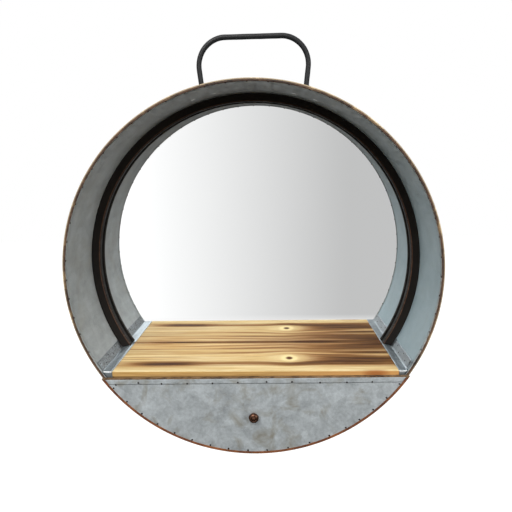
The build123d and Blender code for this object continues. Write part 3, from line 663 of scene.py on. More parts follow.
top_low, top_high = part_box("front_top_tacks")
hem_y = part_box("front_hem")[0].y
top_count = 11
top_step = (top_high.x - top_low.x - 2 * tack_head) / (top_count - 1)
top_row = set_row("front_top_tacks_row", "drawer", "dark_tack", "front_top_tacks",
                  pin=tack_pattern, count=top_count,
                  start=(top_low.x + tack_head, hem_y, top_low.z + tack_head),
                  row_step=(top_step, 0, top_step * sin(front_skew)), facing=towards_room,
                  lag=-0.24, drift_middle=3.6, drift_reach=2.8, wander=1.8 * mm, tilt=0.06, seed=21)

flange_low, flange_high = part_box("bracket_tacks")
flange_radius = strip_inner_radius - 0.8 * mm
flange_fold = -atan2(-plank_high.z, sqrt(strip_inner_radius**2 - plank_high.z**2))
first_rise, zigzag_rise = 10.5 * mm, 6.5 * mm
flange_count = 6
flange_step = (flange_high.y - flange_low.y - 2 * small_head) / (flange_count - 1)
flange_rows = bmesh.new()
for side in (-1, 1):
    low_angle = flange_fold + first_rise / flange_radius
    row = pins.mesh("flange_row", pin=small_tack_pattern, count=flange_count,
                    start=(0, flange_low.y + small_head, 0), row_step=(0, flange_step, 0),
                    radius=seated(flange_radius, small_head), inward=-1.0,
                    first_angle=low_angle if side > 0 else pi - low_angle,
                    zigzag=-side * zigzag_rise / flange_radius, wander=0.4 * mm, tilt=0.05,
                    seed=31 + side)
    flange_rows.from_mesh(row)
flange_mesh = bpy.data.meshes.new("bracket_tacks_rows")
flange_rows.to_mesh(flange_mesh)
flange_rows.free()
flange_mesh.materials.append(black_steel)
piece("bracket_tacks_rows", flange_mesh, "frame", "bracket_tacks")

board_middle_y = -4.5 * mm
screw_count = 10
screw_row = set_row("board_screws_row", "frame", "zinc_screw", "board_screws", pin=screw_pattern,
                    count=screw_count, start=(0, board_middle_y, 0), radius=outer_radius,
                    inward=1.0, first_angle=pi / screw_count, angle_step=2 * pi / screw_count,
                    tilt=0.0, seed=5, finish=zinc_plate)
for pattern in (tack_pattern, small_tack_pattern, screw_pattern):
    bpy.data.objects.remove(pattern)
print("pin faces", [len(row.data.polygons) for row in (rim_row, arc_row, top_row, screw_row)])

# %% [markdown]
# The handle is a round rod bent cold over a former: two long legs, a straight grip and two
# bends. A path of four corners, rounded by the fillet node, carries a circle along it, and a
# little noise keeps the rod from looking machined.


# %% Carrying handle
def bent_rod():
    tree = Recipe("bent_rod", gunmetal, foot_left=nowhere, corner_left=nowhere,
                  corner_right=nowhere, foot_right=nowhere, bend=0.04, rod=0.004, unevenness=0.0)
    given = tree.given
    path = tree.out("GeometryNodeMeshLine", {"Count": 4})
    number = tree.out("GeometryNodeInputIndex")
    for step, corner in enumerate(("foot_left", "corner_left", "corner_right", "foot_right")):
        chosen = tree.math("COMPARE", number, float(step), 0.1)
        path = tree.out("GeometryNodeSetPosition",
                        {0: path, "Selection": chosen, "Position": given[corner]})
    curve = tree.out("GeometryNodeMeshToCurve", {0: path})
    rounded = tree.out("GeometryNodeFilletCurve", {"Curve": curve, "Radius": given["bend"],
                                                   "Limit Radius": True, "Count": 24}, mode="POLY")
    spaced = tree.out("GeometryNodeResampleCurve", {0: rounded, "Length": 2.5 * mm}, mode="LENGTH")
    ring = tree.out("GeometryNodeCurvePrimitiveCircle", {"Resolution": 20, "Radius": given["rod"]})
    tube = tree.out("GeometryNodeCurveToMesh", {0: spaced, 1: ring, "Fill Caps": True})
    noise = tree.out("ShaderNodeTexNoise", {"Scale": 60.0, "Detail": 2.0})
    swell = tree.times(tree.minus(noise, 0.5), given["unevenness"])
    offset = tree.scaled(tree.out("GeometryNodeInputNormal"), swell)
    tree.end(tree.out("GeometryNodeSetPosition", {0: tube, "Offset": offset}))
    return tree


rod_low, rod_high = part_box("handle_rod")
rod_radius = (rod_high.y - rod_low.y) / 2
handle_y = (rod_high.y + rod_low.y) / 2
handle_top = rod_high.z - rod_radius
handle_middle = (rod_high.x + rod_low.x) / 2
handle_lean = radians(6.3)
handle_half = 86 * mm
saddle_thick = 1.5 * mm
foot_sunk = 0.3 * mm
foot_radius = drum_radius - skin + saddle_thick


def rod_foot(side):
    """Where the middle line of a leg meets the curved saddle under it."""
    corner = Vector((handle_middle + side * handle_half, handle_y, handle_top))
    run = Vector((-side * sin(handle_lean), 0, -cos(handle_lean)))
    along = corner.x * run.x + corner.z * run.z
    reach = corner.x**2 + corner.z**2 - (foot_radius - foot_sunk)**2
    return corner, corner + run * (-along - sqrt(along**2 - reach))


legs = {}
for end, side in (("left", -1), ("right", 1)):
    corner, foot = rod_foot(side)
    legs["corner_" + end], legs["foot_" + end] = tuple(corner), tuple(foot)
rod_mesh = bent_rod().mesh("handle_bent_rod", bend=40 * mm, rod=rod_radius - 0.06 * mm,
                           unevenness=0.5 * mm, **legs)
piece("handle_bent_rod", rod_mesh, "frame", "handle_rod")
print("rod", round(2 * rod_radius / mm, 2), "mm thick,", len(rod_mesh.polygons), "faces")

# %% [markdown]
# What is round about the drum's axis is turned on a lathe in code: an outline of radius and
# depth goes round in small steps. The rim strip is folded sheet, so its edges are rounded, and
# its raw inner edge was cut by hand and waves a little. The moulding has a sloping front and
# two beads on its inner face, and stops on the plank.


# %% Lathe work
def hand_made(angle, waves, seed):
    """A smooth wobble from -1 to 1 round the circle, the same in every run."""
    draw = np.random.default_rng(seed)
    total = 0.0
    for wave in waves:
        total += sin(wave * angle + draw.uniform(0, 2 * pi)) * draw.uniform(0.5, 1.0)
    return total / len(waves)


def lathe(name, outline, steps, material, start=0.0, end=2 * pi):
    """Turn an outline about the drum's axis. outline(angle) gives its (radius, y) points."""
    whole = abs(end - start - 2 * pi) < 1e-6
    turns = steps if whole else steps + 1
    corners = []
    for step in range(turns):
        angle = start + (end - start) * step / steps
        points = outline(angle)
        corners += [(radius * cos(angle), y, radius * sin(angle)) for radius, y in points]
    count = len(points)
    faces = []
    for step in range(steps):
        here, there = step * count, ((step + 1) % turns) * count
        for point in range(count):
            after = (point + 1) % count
            faces.append((here + point, here + after, there + after, there + point))
    if not whole:
        faces.append(tuple(range(count))[::-1])
        faces.append(tuple(range((turns - 1) * count, turns * count)))
    return mended(mesh_from(name, corners, faces, material))


def corner_arc(radius_at, y_at, bend, first, last, steps=4):
    """Points round a bend, from one angle to another, in degrees."""
    turns = [radians(first + (last - first) * step / steps) for step in range(steps + 1)]
    return [(radius_at + bend * cos(turn), y_at + bend * sin(turn)) for turn in turns]


rim_bend = 0.9 * mm
inner_leg, outer_leg = 5.5 * mm, 5 * mm
raw_edge_sway, fold_dent = 0.45 * mm, 0.12 * mm


def rim_outline(angle):
    inner, outer, bend = strip_inner_radius, drum_radius, rim_bend
    front = rim_y + fold_dent * (1 + hand_made(angle, (5, 17, 31), 8))
    leg = rim_y + inner_leg + raw_edge_sway * hand_made(angle, (9, 23, 41, 67), 3)
    points = [(inner, leg)]
    points += corner_arc(inner + bend, front + bend, bend, 180, 270)
    points += corner_arc(outer - bend, front + bend, bend, 270, 360)
    points += [(outer, rim_y + outer_leg), (outer - skin, rim_y + outer_leg)]
    points += [(outer - skin, rim_y + skin), (inner + skin, rim_y + skin), (inner + skin, leg)]
    return points


rim_mesh = lathe("rim_strip_folded", rim_outline, 540, rim_rust)
piece("rim_strip_folded", rim_mesh, "frame", "rim_strip")


def moulding_paint():
    """Nearly black matt paint, with a brown line on the front corner and grey lines on the crests
    of the two beads: wear, and painted highlights where those edges catch the light."""
    make = Finish("moulding_paint")
    radius = make.from_axis()
    clouds = make.clouds(40, detail=5, rough=0.6)
    specks = make.clouds(500, detail=2)
    wear = make.remap(make.clouds(160, detail=4, rough=0.65), 0.35, 0.6)
    # painted highlights, mixed with wear: grey lines on the bead crests and a brown line on the front
    # corner
    crest_wear_and_highlight = make.remap(radius, bead_radius + 0.05 * mm, bead_radius + 0.01 * mm)
    nose_wear_and_highlight = make.times(make.remap(radius, lip_radius + 0.9 * mm, lip_radius + 0.3 * mm),
                      make.remap(make.y, lip_y + 0.2 * mm, lip_y - 0.1 * mm))
    base = make.layers(colour(15, 13, 11), (make.remap(clouds, 0.3, 0.7), colour(25, 21, 18)),
                       (make.times(crest_wear_and_highlight, make.times_plus(wear, 0.4, 0.6)), colour(128, 122, 116)),
                       (make.times(nose_wear_and_highlight, make.times_plus(wear, 0.5, 0.4)), colour(112, 80, 62)))
    make.give("Specular IOR Level", 0.12)
    return make.finished(base, make.remap(clouds, 0.3, 0.7, 0.5, 0.66), specks, 0.05 * mm)


moulding_width = 11.3 * mm
bead_height, bead_half = 0.7 * mm, 1.2 * mm
outer_bead = 4.8 * mm
bead_radius = wall_radius - moulding_width
lip_radius = bead_radius + bead_height
lip_y = moulding_back_y - 12.7 * mm


def moulding_outline(angle):
    points = [(wall_radius, moulding_back_y), (lip_radius, moulding_back_y)]
    for middle in (lip_y + outer_bead, lip_y + bead_half):
        for step in range(9):
            turn = pi * step / 8
            points.append((lip_radius - bead_height * sin(turn), middle + bead_half * cos(turn)))
    points.append((lip_radius + 0.1 * mm, lip_y - 0.05 * mm))
    for share in (0.08, 0.3, 0.6, 0.85, 1.0):
        radius = lip_radius + share * (wall_radius - lip_radius)
        crown = 0.5 * mm * sin(pi * share)
        y = lip_y + share * (moulding_front_y - lip_y) + 0.3 * mm * (1 - share) - crown
        points.append((radius, max(y, moulding_front_y)))
    return points


def cut_on_plank(shape):
    """What lies below the top of the plank goes, and the two cut ends are closed."""
    everything = shape.verts[:] + shape.edges[:] + shape.faces[:]
    cut = bmesh.ops.bisect_plane(shape, geom=everything, plane_co=(0, 0, plank_high.z),
                                 plane_no=(0, 0, 1), clear_inner=True)
    edges = [part for part in cut["geom_cut"] if isinstance(part, bmesh.types.BMEdge)]
    bmesh.ops.holes_fill(shape, edges=edges, sides=0)


cut_angle = atan2(plank_high.z, sqrt(wall_radius**2 - plank_high.z**2))
spare = radians(3)
moulding_mesh = lathe("moulding_beaded", moulding_outline, 420, moulding_paint(),
                      cut_angle - spare, pi - cut_angle + spare)
mended(moulding_mesh, before=cut_on_plank)
piece("moulding_beaded", moulding_mesh, "frame", "moulding")
print("rim faces", len(rim_mesh.polygons), "moulding faces", len(moulding_mesh.polygons))

# %% [markdown]
# The brackets are each folded from one sheet: a ledge under the plank, a riser at its end, a
# strip on top, a flange up the wall and a tab down the front. The sheet is laid out as a grid
# that follows the folds, with a small radius in each bend, and Solidify gives it its thickness.
# A rounded bend is what catches the bright line along the front fold.


# %% Folded brackets
sheet, bend, clear = 0.8 * mm, 0.9 * mm, 0.2 * mm
ledge_width, flange_height, tab_height = 21 * mm, 15 * mm, 13.8 * mm
flange_y = (rim_y + 7 * mm, moulding_front_y - 1 * mm)
flange_steps = 12


def bracket(name, side):
    end = abs(plank_high.x if side > 0 else plank_low.x) + clear
    top, bottom = plank_high.z, plank_low.z
    wall = strip_inner_radius - sheet
    fold_x = sqrt(wall**2 - top**2)
    fold = atan2(-top, fold_x)
    path = [(end - ledge_width, bottom), (end - 10 * mm, bottom), (end - 0.01 * mm, bottom)]
    path += [(end, bottom + 0.01 * mm), (end, top - bend)]
    for turn in (150, 120):
        path.append((end + bend + bend * cos(radians(turn)), top - bend + bend * sin(radians(turn))))
    first_top = len(path)
    reach = fold_x - bend - (end + bend)
    path += [(end + bend + reach * share, top) for share in (0, 0.15, 0.4, 0.65, 0.9, 1)]
    last_top = len(path) - 1
    path.append((fold_x - 0.35 * bend, top + 0.25 * bend))
    for step in range(1, 9):
        angle = -fold + flange_height / wall * step / 8
        path.append((wall * cos(angle), wall * sin(angle)))
    low_y, high_y = plank_low.y, plank_high.y
    rows = [low_y + bend, low_y + 2.5 * mm, flange_y[0]]
    first_flange = len(rows) - 1
    rows += [flange_y[0] + (flange_y[1] - flange_y[0]) * step / flange_steps
             for step in range(1, flange_steps + 1)]
    rows += [flange_y[1] + 4 * mm, flange_y[1] + 12 * mm, high_y]
    corners = {}
    draw = np.random.default_rng(50 + side)
    for column, (x, z) in enumerate(path):
        for row, y in enumerate(rows):
            ripple = 0.12 * mm * draw.uniform(-1, 1) if column == len(path) - 1 else 0
            corners[column, row] = (x + ripple, y, z + ripple)
    tab_rows = []
    for step in (1, 2, 3):
        turn = pi / 2 * step / 3
        tab_rows.append((low_y + bend - bend * sin(turn), top - bend + bend * cos(turn)))
    tab_rows += [(low_y, top - drop) for drop in (4 * mm, 8 * mm, tab_height)]
    for number, (y, z) in enumerate(tab_rows):
        room = sqrt((wall - 0.1 * mm)**2 - z**2) - 0.4 * mm
        for column in range(first_top, last_top + 1):
            share = (path[column][0] - end) / (fold_x - end)
            corners[column, -1 - number] = (end + share * (room - end), y, z)
    index = {key: number for number, key in enumerate(corners)}
    faces = []
    for column in range(len(path) - 1):
        for row in range(len(rows) - 1):
            if column <= last_top or 0 <= row - first_flange < flange_steps:
                faces.append((column, row))
    for column in range(first_top, last_top):
        faces += [(column, -1 - number) for number in range(len(tab_rows))]
    quads = []
    for column, row in faces:
        quad = [(column, row), (column, row + 1), (column + 1, row + 1), (column + 1, row)]
        quad = [index[key] for key in quad]
        quads.append(quad if side < 0 else quad[::-1])
    mesh = mesh_from(name, [(side * x, y, z) for x, y, z in corners.values()], quads, bracket_zinc)

    def drop_loose(shape):
        loose = [corner for corner in shape.verts if not corner.link_faces]
        bmesh.ops.delete(shape, geom=loose, context="VERTS")

    def face_up(shape):
        strip = [face for face in shape.faces
                 if abs(face.calc_center_median().z - top) < 0.01 * mm]
        if sum(face.normal.z * face.calc_area() for face in strip) < 0:
            bmesh.ops.reverse_faces(shape, faces=shape.faces)

    mended(mesh, before=drop_loose, after=face_up)
    thing = piece(name, mesh, "frame", "bracket_" + name.split("_")[1])
    thick = thing.modifiers.new("thickness", "SOLIDIFY")
    thick.thickness = sheet - 0.02 * mm
    thick.offset = -1
    thick.use_even_offset = False
    return thing


for name, side in (("folded_left_bracket", -1), ("folded_right_bracket", 1)):
    made = bracket(name, side)
    print(name, "faces", len(made.data.polygons))

# %% [markdown]
# The shelf is one softwood plank, torched, wire-brushed and waxed. The brush digs out the soft
# spring wood, so the plank is modelled as a fine relief, and what the shader needs to know is
# stored on its points: where the grain runs, which flows round a knot as water round a stone,
# the hard late wood, the burn and the knot. Places on it are in millimetres from its left end
# and from its front edge, as a joiner would mark them.

# %% What the plank's surface does
# late wood: place across the plank, width, strength
late_wood = ((3, 2.0, 0.25), (9, 2.4, 0.2), (15.5, 2.0, 0.4), (21, 1.3, 1.0), (25, 1.7, 0.9),
             (29.5, 2.2, 0.9), (34.5, 1.9, 1.0), (39.6, 1.1, 0.6), (44.5, 0.9, 0.4),
             (48.5, 1.5, 0.8), (55.5, 1.5, 0.7), (60, 0.9, 0.3), (64, 1.0, 0.4), (69, 1.3, 0.9),
             (73.6, 2.4, 1.0), (79, 1.0, 0.4), (88.4, 1.3, 0.95), (92.4, 1.9, 1.0),
             (98.5, 1.1, 0.6), (104.5, 1.8, 0.8), (110, 1.1, 0.5), (115.5, 1.4, 0.85),
             (121, 2.4, 1.0))
# burnt places: place along and across, reach along and across, strength
torched = ((78, 30, 66, 9, 1.0), (190, 31, 80, 8, 0.5), (300, 29, 60, 7, 0.85),
           (388, 38, 90, 18, 1.0), (425, 50, 100, 9, 0.9), (415, 73, 100, 6, 0.85),
           (395, 98, 100, 18, 0.95), (330, 119, 170, 5, 0.85), (120, 121, 150, 4, 0.8),
           (225, 92, 90, 4.5, 0.55), (190, 73, 90, 4, 0.45), (430, 112, 40, 11, 0.95),
           (260, 106, 80, 8, 0.5), (60, 56, 80, 3, 0.4), (330, 62, 60, 3, 0.45),
           (140, 104, 70, 4, 0.4), (20, 90, 60, 5, 0.4), (310, 82, 60, 8, 0.4),
           (350, 60, 60, 7, 0.5), (40, 112, 60, 5, 0.4), (60, 79, 70, 4, 0.35))
# a knot: place along and across, radius, radius of its pale halo
knots = ((274.6, 49.9, 5.2, 12.5), )
# a greenish band: place across, width
tint_band = (82.5, 5.0)


def flowing(x, t):
    """The grain coordinate across the plank, pushed aside by the knots."""
    sway = 1.3 * np.sin(x / 71 + 0.6) + 0.8 * np.sin(x / 37 + t / 19)
    t = t + sway * np.clip(t / 20, 0, 1) * np.clip((122 - t) / 12, 0, 1)
    for knot_x, knot_t, _, halo in knots:
        near = np.exp(-((x - knot_x) / 30)**2)
        off = t - knot_t
        t = knot_t + np.sign(off) * np.sqrt(np.maximum(off**2 - halo**2 * near, 0.02))
    return t


def plank_signs(x, t):
    """Late wood, burn, knot and pale halo at a place, each from 0 to 1."""
    grain = flowing(x, t)
    late = np.zeros_like(grain)
    for middle, width, strength in late_wood:
        moved = middle + 0.5 * np.sin(x / 53 + middle)
        strength = strength * (0.72 + 0.28 * np.sin(x / 64 + 2.1 * middle))
        late = np.maximum(late, strength * np.exp(-((grain - moved) / (1.3 * width))**2))
    burn = np.zeros_like(grain)
    for middle_x, middle_t, long, wide, strength in torched:
        spot = np.exp(-np.abs((x - middle_x) / long)**2.4 - np.abs((grain - middle_t) / wide)**2.6)
        burn = 1 - (1 - burn) * (1 - strength * spot)
    core, halo = np.zeros_like(grain), np.zeros_like(grain)
    for knot_x, knot_t, radius, reach in knots:
        away = np.sqrt((x - knot_x)**2 + ((t - knot_t) * 0.92)**2)
        core = np.maximum(core, 1 / (1 + np.exp((away - radius) / 0.5)))
        tail = np.sqrt(((x - knot_x) / 2.3)**2 + (t - knot_t)**2)
        halo = np.maximum(halo, np.exp(-(away / reach)**4) + 0.6 * np.exp(-(tail / reach)**2))
    halo = np.clip(halo, 0, 1)
    return grain, late * (1 - 0.9 * halo), burn * (1 - halo), core, halo


across = np.linspace(0, 122, 123)
signs = plank_signs(np.full_like(across, 100.0), across)
print("late wood across the plank", round(float(signs[1].mean()), 2), "on average")

# %% The plank as a relief
plank_length = (plank_high.x - plank_low.x) / mm
plank_width = (plank_high.y - plank_low.y) / mm
plank_thick = (plank_high.z - plank_low.z) / mm
column_count = 292
edge_round = 0.9


def plank_ring():
    """The outline of the plank's end, as (t, depth below the top), from front to back."""
    ring = []
    for step in range(5):
        turn = pi / 2 * step / 4
        ring.append((edge_round * (1 - sin(turn)), edge_round * (1 - cos(turn))))
    ring = ring[::-1]
    ring += [(t, 0.0) for t in np.arange(1.4, plank_width - 0.5, 0.62)]
    ring += [(plank_width - 0.3, 0.05), (plank_width, 0.4)]
    ring += [(plank_width, plank_thick * share) for share in (0.3, 0.7, 0.97)]
    ring += [(plank_width * share, plank_thick) for share in (0.98, 0.7, 0.4, 0.02)]
    ring += [(0.0, plank_thick * share) for share in (0.97, 0.9)]
    ring += [(0.0, depth) for depth in np.arange(plank_thick * 0.84, edge_round, -0.7)]
    return ring


ring = plank_ring()
columns = np.linspace(0, plank_length, column_count)
ring_t = np.array([t for t, depth in ring])
ring_depth = np.array([depth for t, depth in ring])
grid_x, grid_t = np.meshgrid(columns, ring_t, indexing="ij")
grid_depth = np.meshgrid(columns, ring_depth, indexing="ij")[1]
is_front = (grid_t < 0.01) & (grid_depth > edge_round * 0.9)
pattern_t = np.where(is_front, 3.0 - 0.55 * grid_depth, grid_t)
grain, late, burn, core, halo = plank_signs(grid_x, pattern_t)
late = np.where(is_front, 0.35 * late, late)
burn = np.where(is_front, 0.15 * burn, burn)
on_top = (grid_depth < 0.06) & ~is_front
brushed = 0.42 * late + 0.12 * burn + 0.25 * core
draw = np.random.default_rng(12)
furrow = np.convolve(draw.uniform(-1, 1, len(ring)), (0.25, 0.5, 0.25), "same")
furrow = furrow[None, :] * (0.6 + 0.4 * np.sin(grid_x / 41 + 3 * furrow[None, :]))
sink = np.where(on_top, np.clip(0.30 * brushed + 0.10 * (furrow + 1), 0, 0.6), 0.0)
dent = np.where(is_front, 0.07 * (furrow + 1), 0.0)
points = np.stack([plank_low.x / mm + grid_x, plank_low.y / mm + grid_t + dent,
                   plank_high.z / mm - grid_depth - sink], axis=-1) * mm
count = len(ring)
faces = []
for column in range(column_count - 1):
    for row in range(count):
        here, after = column * count + row, column * count + (row + 1) % count
        faces.append((here, here + count, after + count, after))
faces.append(tuple(range(count)))
faces.append(tuple(range((column_count - 1) * count, column_count * count))[::-1])
plank_mesh = mesh_from("shelf_board", points.reshape(-1, 3).tolist(), faces)
mended(plank_mesh)
for name, values in (("late", late), ("burn", burn), ("core", core), ("halo", halo),
                     ("front", is_front.astype(float))):
    layer = plank_mesh.attributes.new(name, "FLOAT", "POINT")
    layer.data.foreach_set("value", values.astype(np.float32).ravel())
layer = plank_mesh.attributes.new("grain", "FLOAT_VECTOR", "POINT")
flow = np.stack([grid_x, np.where(is_front, -6 - grid_depth, grain), 0 * grid_x], axis=-1) * mm
layer.data.foreach_set("vector", flow.astype(np.float32).ravel())
print("plank", len(plank_mesh.polygons), "faces")

# %% [markdown]
# Its finish builds up as on the real board: pale cream wood, tan clouds and fibres along the
# grain, brown late wood, then the torch, which darkens the late wood first. The wax over it is
# nearly matt. The front edge is more golden than the top and has a knot of its own at its
# right end. Along the bottom of the front, dark brown is painted in as painted shade.


# %% The plank's finish
end_knot = (185.6 * mm, -149.5 * mm)
end_knot_half = (17 * mm, 7 * mm)


def torched_softwood():
    make = Finish("torched_softwood")

    def stored(name, output="Fac"):
        return make.add("ShaderNodeAttribute", attribute_name=name).outputs[output]

    flow = stored("grain", "Vector")
    clouds = make.clouds(70, detail=4, rough=0.6, stretch=(0.09, 1, 1), place=flow)
    fibres = make.clouds(620, detail=3, rough=0.65, stretch=(0.035, 1, 1), place=flow)
    streaks = make.clouds(210, detail=4, rough=0.6, stretch=(0.05, 1, 1), place=flow)
    bands = make.clouds(95, detail=2, rough=0.5, stretch=(0.025, 1, 1), place=flow)
    late_here, burn_here, front_here = stored("late"), stored("burn"), stored("front")
    green = make.hump(make.parts(flow)[1], tint_band[0] * mm, tint_band[1] * mm)
    line = make.times(late_here, make.remap(streaks, 0.25, 0.7, 0.62, 1.12))
    scorch = make.times(burn_here, make.remap(streaks, 0.3, 0.7, 0.55, 1.05))
    scorch = make.plus(scorch, make.times(make.times(burn_here, late_here), 0.35))
    top = make.layers(colour(240, 224, 176),
                      (make.remap(clouds, 0.36, 0.66), colour(216, 188, 130)),
                      (make.times(green, 0.65), colour(196, 192, 150)),
                      (make.remap(fibres, 0.42, 0.70, 0, 0.5), colour(188, 154, 102)),
                      (make.remap(bands, 0.46, 0.62, 0, 0.6), colour(202, 164, 102)),
                      (make.times(line, 0.95, clamp=True), colour(154, 112, 60)),
                      (make.times(stored("halo"), 0.55), colour(240, 224, 166)),
                      (make.times(scorch, 1.7, clamp=True), colour(166, 118, 68)),
                      (make.times_plus(scorch, 1.5, -0.42, clamp=True), colour(70, 42, 22)),
                      (stored("core"), colour(96, 54, 28)))

    gold = make.mix(make.remap(streaks, 0.35, 0.65), colour(204, 162, 98), colour(166, 124, 68))
    right_end = make.times(make.remap(make.x, 0.02, 0.15, 0, 0.55), front_here)
    knot_x = make.math("DIVIDE", make.minus(make.x, end_knot[0]), end_knot_half[0])
    knot_z = make.math("DIVIDE", make.minus(make.z, end_knot[1]), end_knot_half[1])
    off_knot = make.plus(make.times(knot_x, knot_x), make.times(knot_z, knot_z))
    red = make.times(make.remap(off_knot, 1.8, 0.1),
                     make.remap(make.y, plank_low.y + 6 * mm, plank_low.y + 1 * mm))
    # painted shade: the lowest few millimetres of the plank's front are painted dark brown
    low_edge = make.remap(make.z, plank_low.z + 3.2 * mm, plank_low.z + 5.5 * mm, 0.75, 0)
    base = make.layers(top, (make.times(front_here, 0.85), gold),
                       (right_end, colour(205, 144, 84)),
                       (make.times(red, 0.8), colour(158, 94, 50)),
                       (make.times(low_edge, front_here), colour(92, 66, 40)))
    make.give("Specular IOR Level", 0.06)
    rough = make.remap(fibres, 0.3, 0.7, 0.42, 0.64)
    return make.finished(base, rough, make.plus(fibres, streaks), 0.16 * mm)


plank_mesh.materials.append(torched_softwood())
piece("shelf_board", plank_mesh, "frame", "shelf_plank")

# %% [markdown]
# The drawer front is thin sheet nailed over a flat board, so it isn't flat itself: it swells
# gently between the tacks and shows dull dents. Its upper edge is folded to a hem whose raw
# edge lies tight on the left and stands off a little on the right, where it throws a dark line.


# %% Dented sheet of the drawer front
def skewed(x, z):
    return x * cos(front_skew) - z * sin(front_skew), x * sin(front_skew) + z * cos(front_skew)


def smooth_noise(x, z, scale, seed):
    """Sums of waves in random directions, from about -1 to 1."""
    draw = np.random.default_rng(seed)
    total = np.zeros_like(x)
    for _ in range(9):
        way = draw.uniform(0, pi)
        wave = scale * draw.uniform(0.6, 1.6)
        phase = draw.uniform(0, 2 * pi)
        total += np.sin((x * cos(way) + z * sin(way)) * 2 * pi / wave + phase)
    return total / 9


def closed_plate(name, front, depth_front, depth_back, material):
    """Plate from a grid of (x, z), with a depth for each point of its front and one for its back."""
    rows, cols = front.shape[:2]
    size = rows * cols
    back = np.full(front.shape[:2], depth_back)
    corners = [(x, y, z) for depths in (depth_front, back)
               for (x, z), y in zip(front.reshape(-1, 2), depths.ravel())]
    faces = []
    for row in range(rows - 1):
        for col in range(cols - 1):
            quad = [row * cols + col, row * cols + col + 1, (row + 1) * cols + col + 1,
                    (row + 1) * cols + col]
            faces += [tuple(quad), tuple(size + corner for corner in quad[::-1])]
    edge = list(range(cols)) + [row * cols + cols - 1 for row in range(1, rows)]
    edge += [(rows - 1) * cols + col for col in range(cols - 2, -1, -1)]
    edge += [row * cols for row in range(rows - 2, 0, -1)]
    for number, corner in enumerate(edge):
        after = edge[(number + 1) % len(edge)]
        faces.append((corner, size + corner, size + after, after))

    def weld(shape):
        bmesh.ops.remove_doubles(shape, verts=shape.verts, dist=0.001 * mm)

    return mended(mesh_from(name, corners, faces, material), before=weld)


front_top = plank_low.z + 4.8 * mm
sheet_radius = front_radius - skin
sheet_top = front_top - skin
sheet_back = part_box("front_skin")[1].y
heights = sheet_radius * np.sin(np.linspace(radians(-89.2), np.arcsin(sheet_top / sheet_radius), 64))
shares = np.linspace(-1, 1, 161)
half = np.sqrt(sheet_radius**2 - heights**2)
flat_x = half[:, None] * shares[None, :]
flat_z = np.repeat(heights[:, None], len(shares), axis=1)
place_x, place_z = skewed(flat_x, flat_z)
dent_size, swell_size, deepest = 50 * mm, 140 * mm, 0.26
dents = 0.5 + 0.5 * smooth_noise(place_x, place_z, dent_size, 6) * 1.6
swell = 0.5 + 0.5 * smooth_noise(place_x, place_z, swell_size, 16) * 1.6
inset = np.clip(0.10 * dents + 0.14 * swell, 0, deepest) * mm
front_mesh = closed_plate("drawer_front_sheet", np.stack([place_x, place_z], axis=-1),
                          front_skin_y + inset, sheet_back, front_zinc)
piece("drawer_front_sheet", front_mesh, "drawer", "front_skin")

hem_top = front_top - 1.0 * mm
hem_depth = 8.5 * mm
hem_radius = front_radius - 3.6 * mm
hem_rows = np.linspace(0, 1, 7)
hem_shares = np.linspace(-1, 1, 241)
raw_edge = np.array([0.35 * mm * hand_made(9 * share, (3, 7, 13, 22), 44) for share in hem_shares])
low_edge = hem_top - hem_depth + raw_edge
hem_z = hem_top + (low_edge - hem_top)[None, :] * hem_rows[:, None]
hem_half = np.sqrt(hem_radius**2 - hem_z**2)
hem_x = hem_half * hem_shares[None, :]
lift_middle, lift_reach, most_lift, least_lift = 85, 80, 0.34, 0.02
lift = np.exp(-((hem_x / mm - lift_middle) / lift_reach)**4) * most_lift + least_lift
hem_front = front_skin_y - lift * mm * (0.4 + 0.6 * hem_rows[:, None])
place_x, place_z = skewed(hem_x, hem_z)
hem_mesh = closed_plate("drawer_front_hem", np.stack([place_x, place_z], axis=-1), hem_front,
                        front_skin_y, front_zinc)
piece("drawer_front_hem", hem_mesh, "drawer", "front_hem")
print("front sheet", len(front_mesh.polygons), "faces, hem", len(hem_mesh.polygons), "faces")

# %% [markdown]
# A plain pale floor lies well below the hanging mirror. A backdrop stands in the room behind
# the camera: in the looking glass it is what the middle of the mirror shows, white on the left
# and a soft grey towards the right. The looking glass sees the floor as pale as the camera does.

# %% Floor and backdrop
floor_z, floor_half = -1.3, 9
backdrop_y, backdrop_half, backdrop_top = -3.4, 4, 3
white = even(1)


def stage_plane(name, corners, material):
    """A plane of the stage, which isn't a part of the object."""
    mesh = bpy.data.meshes.new(name)
    mesh.from_pydata(corners, [], [(0, 1, 2, 3)])
    mesh.materials.append(material)
    plane = bpy.data.objects.new(name, mesh)
    scene.collection.objects.link(plane)
    return plane


def seen_light(make, in_view, in_gloss, hidden):
    """One colour of light for the camera, another for reflections, and a plain shader for
    the light that falls on the object."""
    path = make.add("ShaderNodeLightPath").outputs
    gloss = make.plus(path["Is Glossy Ray"], path["Is Transmission Ray"], clamp=True)
    gloss = make.minus(gloss, path["Diffuse Depth"], clamp=True)
    light = make.out("ShaderNodeEmission", {0: make.mix(gloss, in_view, in_gloss)})
    shown = make.plus(gloss, path["Is Camera Ray"], clamp=True)
    make.surface(make.out("ShaderNodeMixShader", {0: shown, 1: hidden, 2: light}))


def pale_floor():
    """Matt and pale. It takes the object's shadow, which is faint so far below it."""
    make = Finish("pale_floor", roughness=0.9)
    path = make.add("ShaderNodeLightPath").outputs
    seen = make.plus(path["Is Camera Ray"], path["Is Transmission Ray"], clamp=True)
    seen = make.plus(seen, path["Is Singular Ray"], clamp=True)
    make.give("Base Color", make.mix(seen, even(0.05), even(0.25)))
    matt = make.shader.outputs[0]
    glow = make.out("ShaderNodeEmission", {0: even(0.93)})
    lit = make.out("ShaderNodeAddShader", {0: matt, 1: glow})
    make.surface(make.out("ShaderNodeMixShader", {0: seen, 1: matt, 2: lit}))
    return make.material


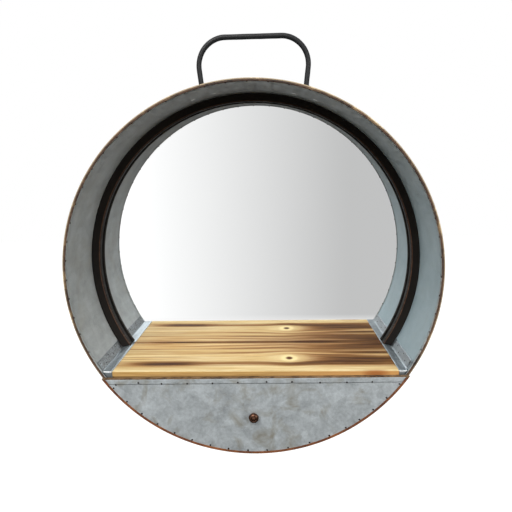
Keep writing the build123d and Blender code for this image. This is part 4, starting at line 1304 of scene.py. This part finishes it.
def room_backdrop():
    """Light that goes from white to grey across what the glass reflects."""
    make = Finish("room_backdrop")
    share = make.remap(make.x, -1.25, 0.74)
    eased = make.math("SMOOTH_MIN", share, 0.97, 0.12)
    grey = make.mix(eased, even(1.12), even(0.545))
    grey = make.mix(make.remap(make.z, floor_z, floor_z + 0.12), white, grey)
    seen_light(make, white, grey, make.out("ShaderNodeBsdfTransparent"))
    return make.material


square = ((-1, -1), (1, -1), (1, 1), (-1, 1))
stage_plane("floor", [(x * floor_half, y * floor_half, floor_z) for x, y in square], pale_floor())
stage_plane("backdrop", [(x * backdrop_half, backdrop_y, floor_z if z < 0 else backdrop_top)
                         for x, z in square], room_backdrop())
print("floor at", floor_z, "m, backdrop at", backdrop_y, "m")

# %% [markdown]
# The light is soft and comes from above, in front and a little to the left, as in a studio with
# one large softbox. That, with the painted shade on the top of the drum wall, is why the drum is
# dark under its top and bright on its lower sides.
# The world gives the rest: bright above, dim below, and plain white where the camera sees it.


# %% Lights
def studio_world():
    world = bpy.data.worlds.new("studio")
    world.use_nodes = True
    scene.world = world
    make = NodeWriter(world.node_tree)
    seen = make.add("ShaderNodeLightPath").outputs["Is Camera Ray"]
    height = make.parts(make.add("ShaderNodeTexCoord").outputs["Generated"])[2]
    sky = make.mix(make.remap(height, -0.1, 0.8), even(0.03), even(0.9))
    make.feed(world.node_tree.nodes["Background"].inputs["Color"], make.mix(seen, sky, white))


studio_world()
softboxes = (
    ("key_softbox", (-0.7, -1.9, 1.8), (0, -0.1, 0), (1.5, 1.2), 50, True),
    ("side_fill", (1.7, -1.5, 0.75), (-0.1, -0.1, -0.05), (1.0, 1.0), 17, True),
    ("front_fill", (0.3, -2.6, 1.5), (0, -0.1, -0.2), (1.0, 0.7), 14, False),
)
for name, place, aim, size, watts, glossy in softboxes:
    lamp = bpy.data.lights.new(name, "AREA")
    lamp.shape = "RECTANGLE"
    lamp.size, lamp.size_y = size
    lamp.energy = watts
    box = bpy.data.objects.new(name, lamp)
    box.location = place
    box.rotation_euler = (Vector(aim) - Vector(place)).to_track_quat("-Z", "Y").to_euler()
    box.visible_glossy = glossy
    scene.collection.objects.link(box)
print("lights", [name for name, *_ in softboxes])
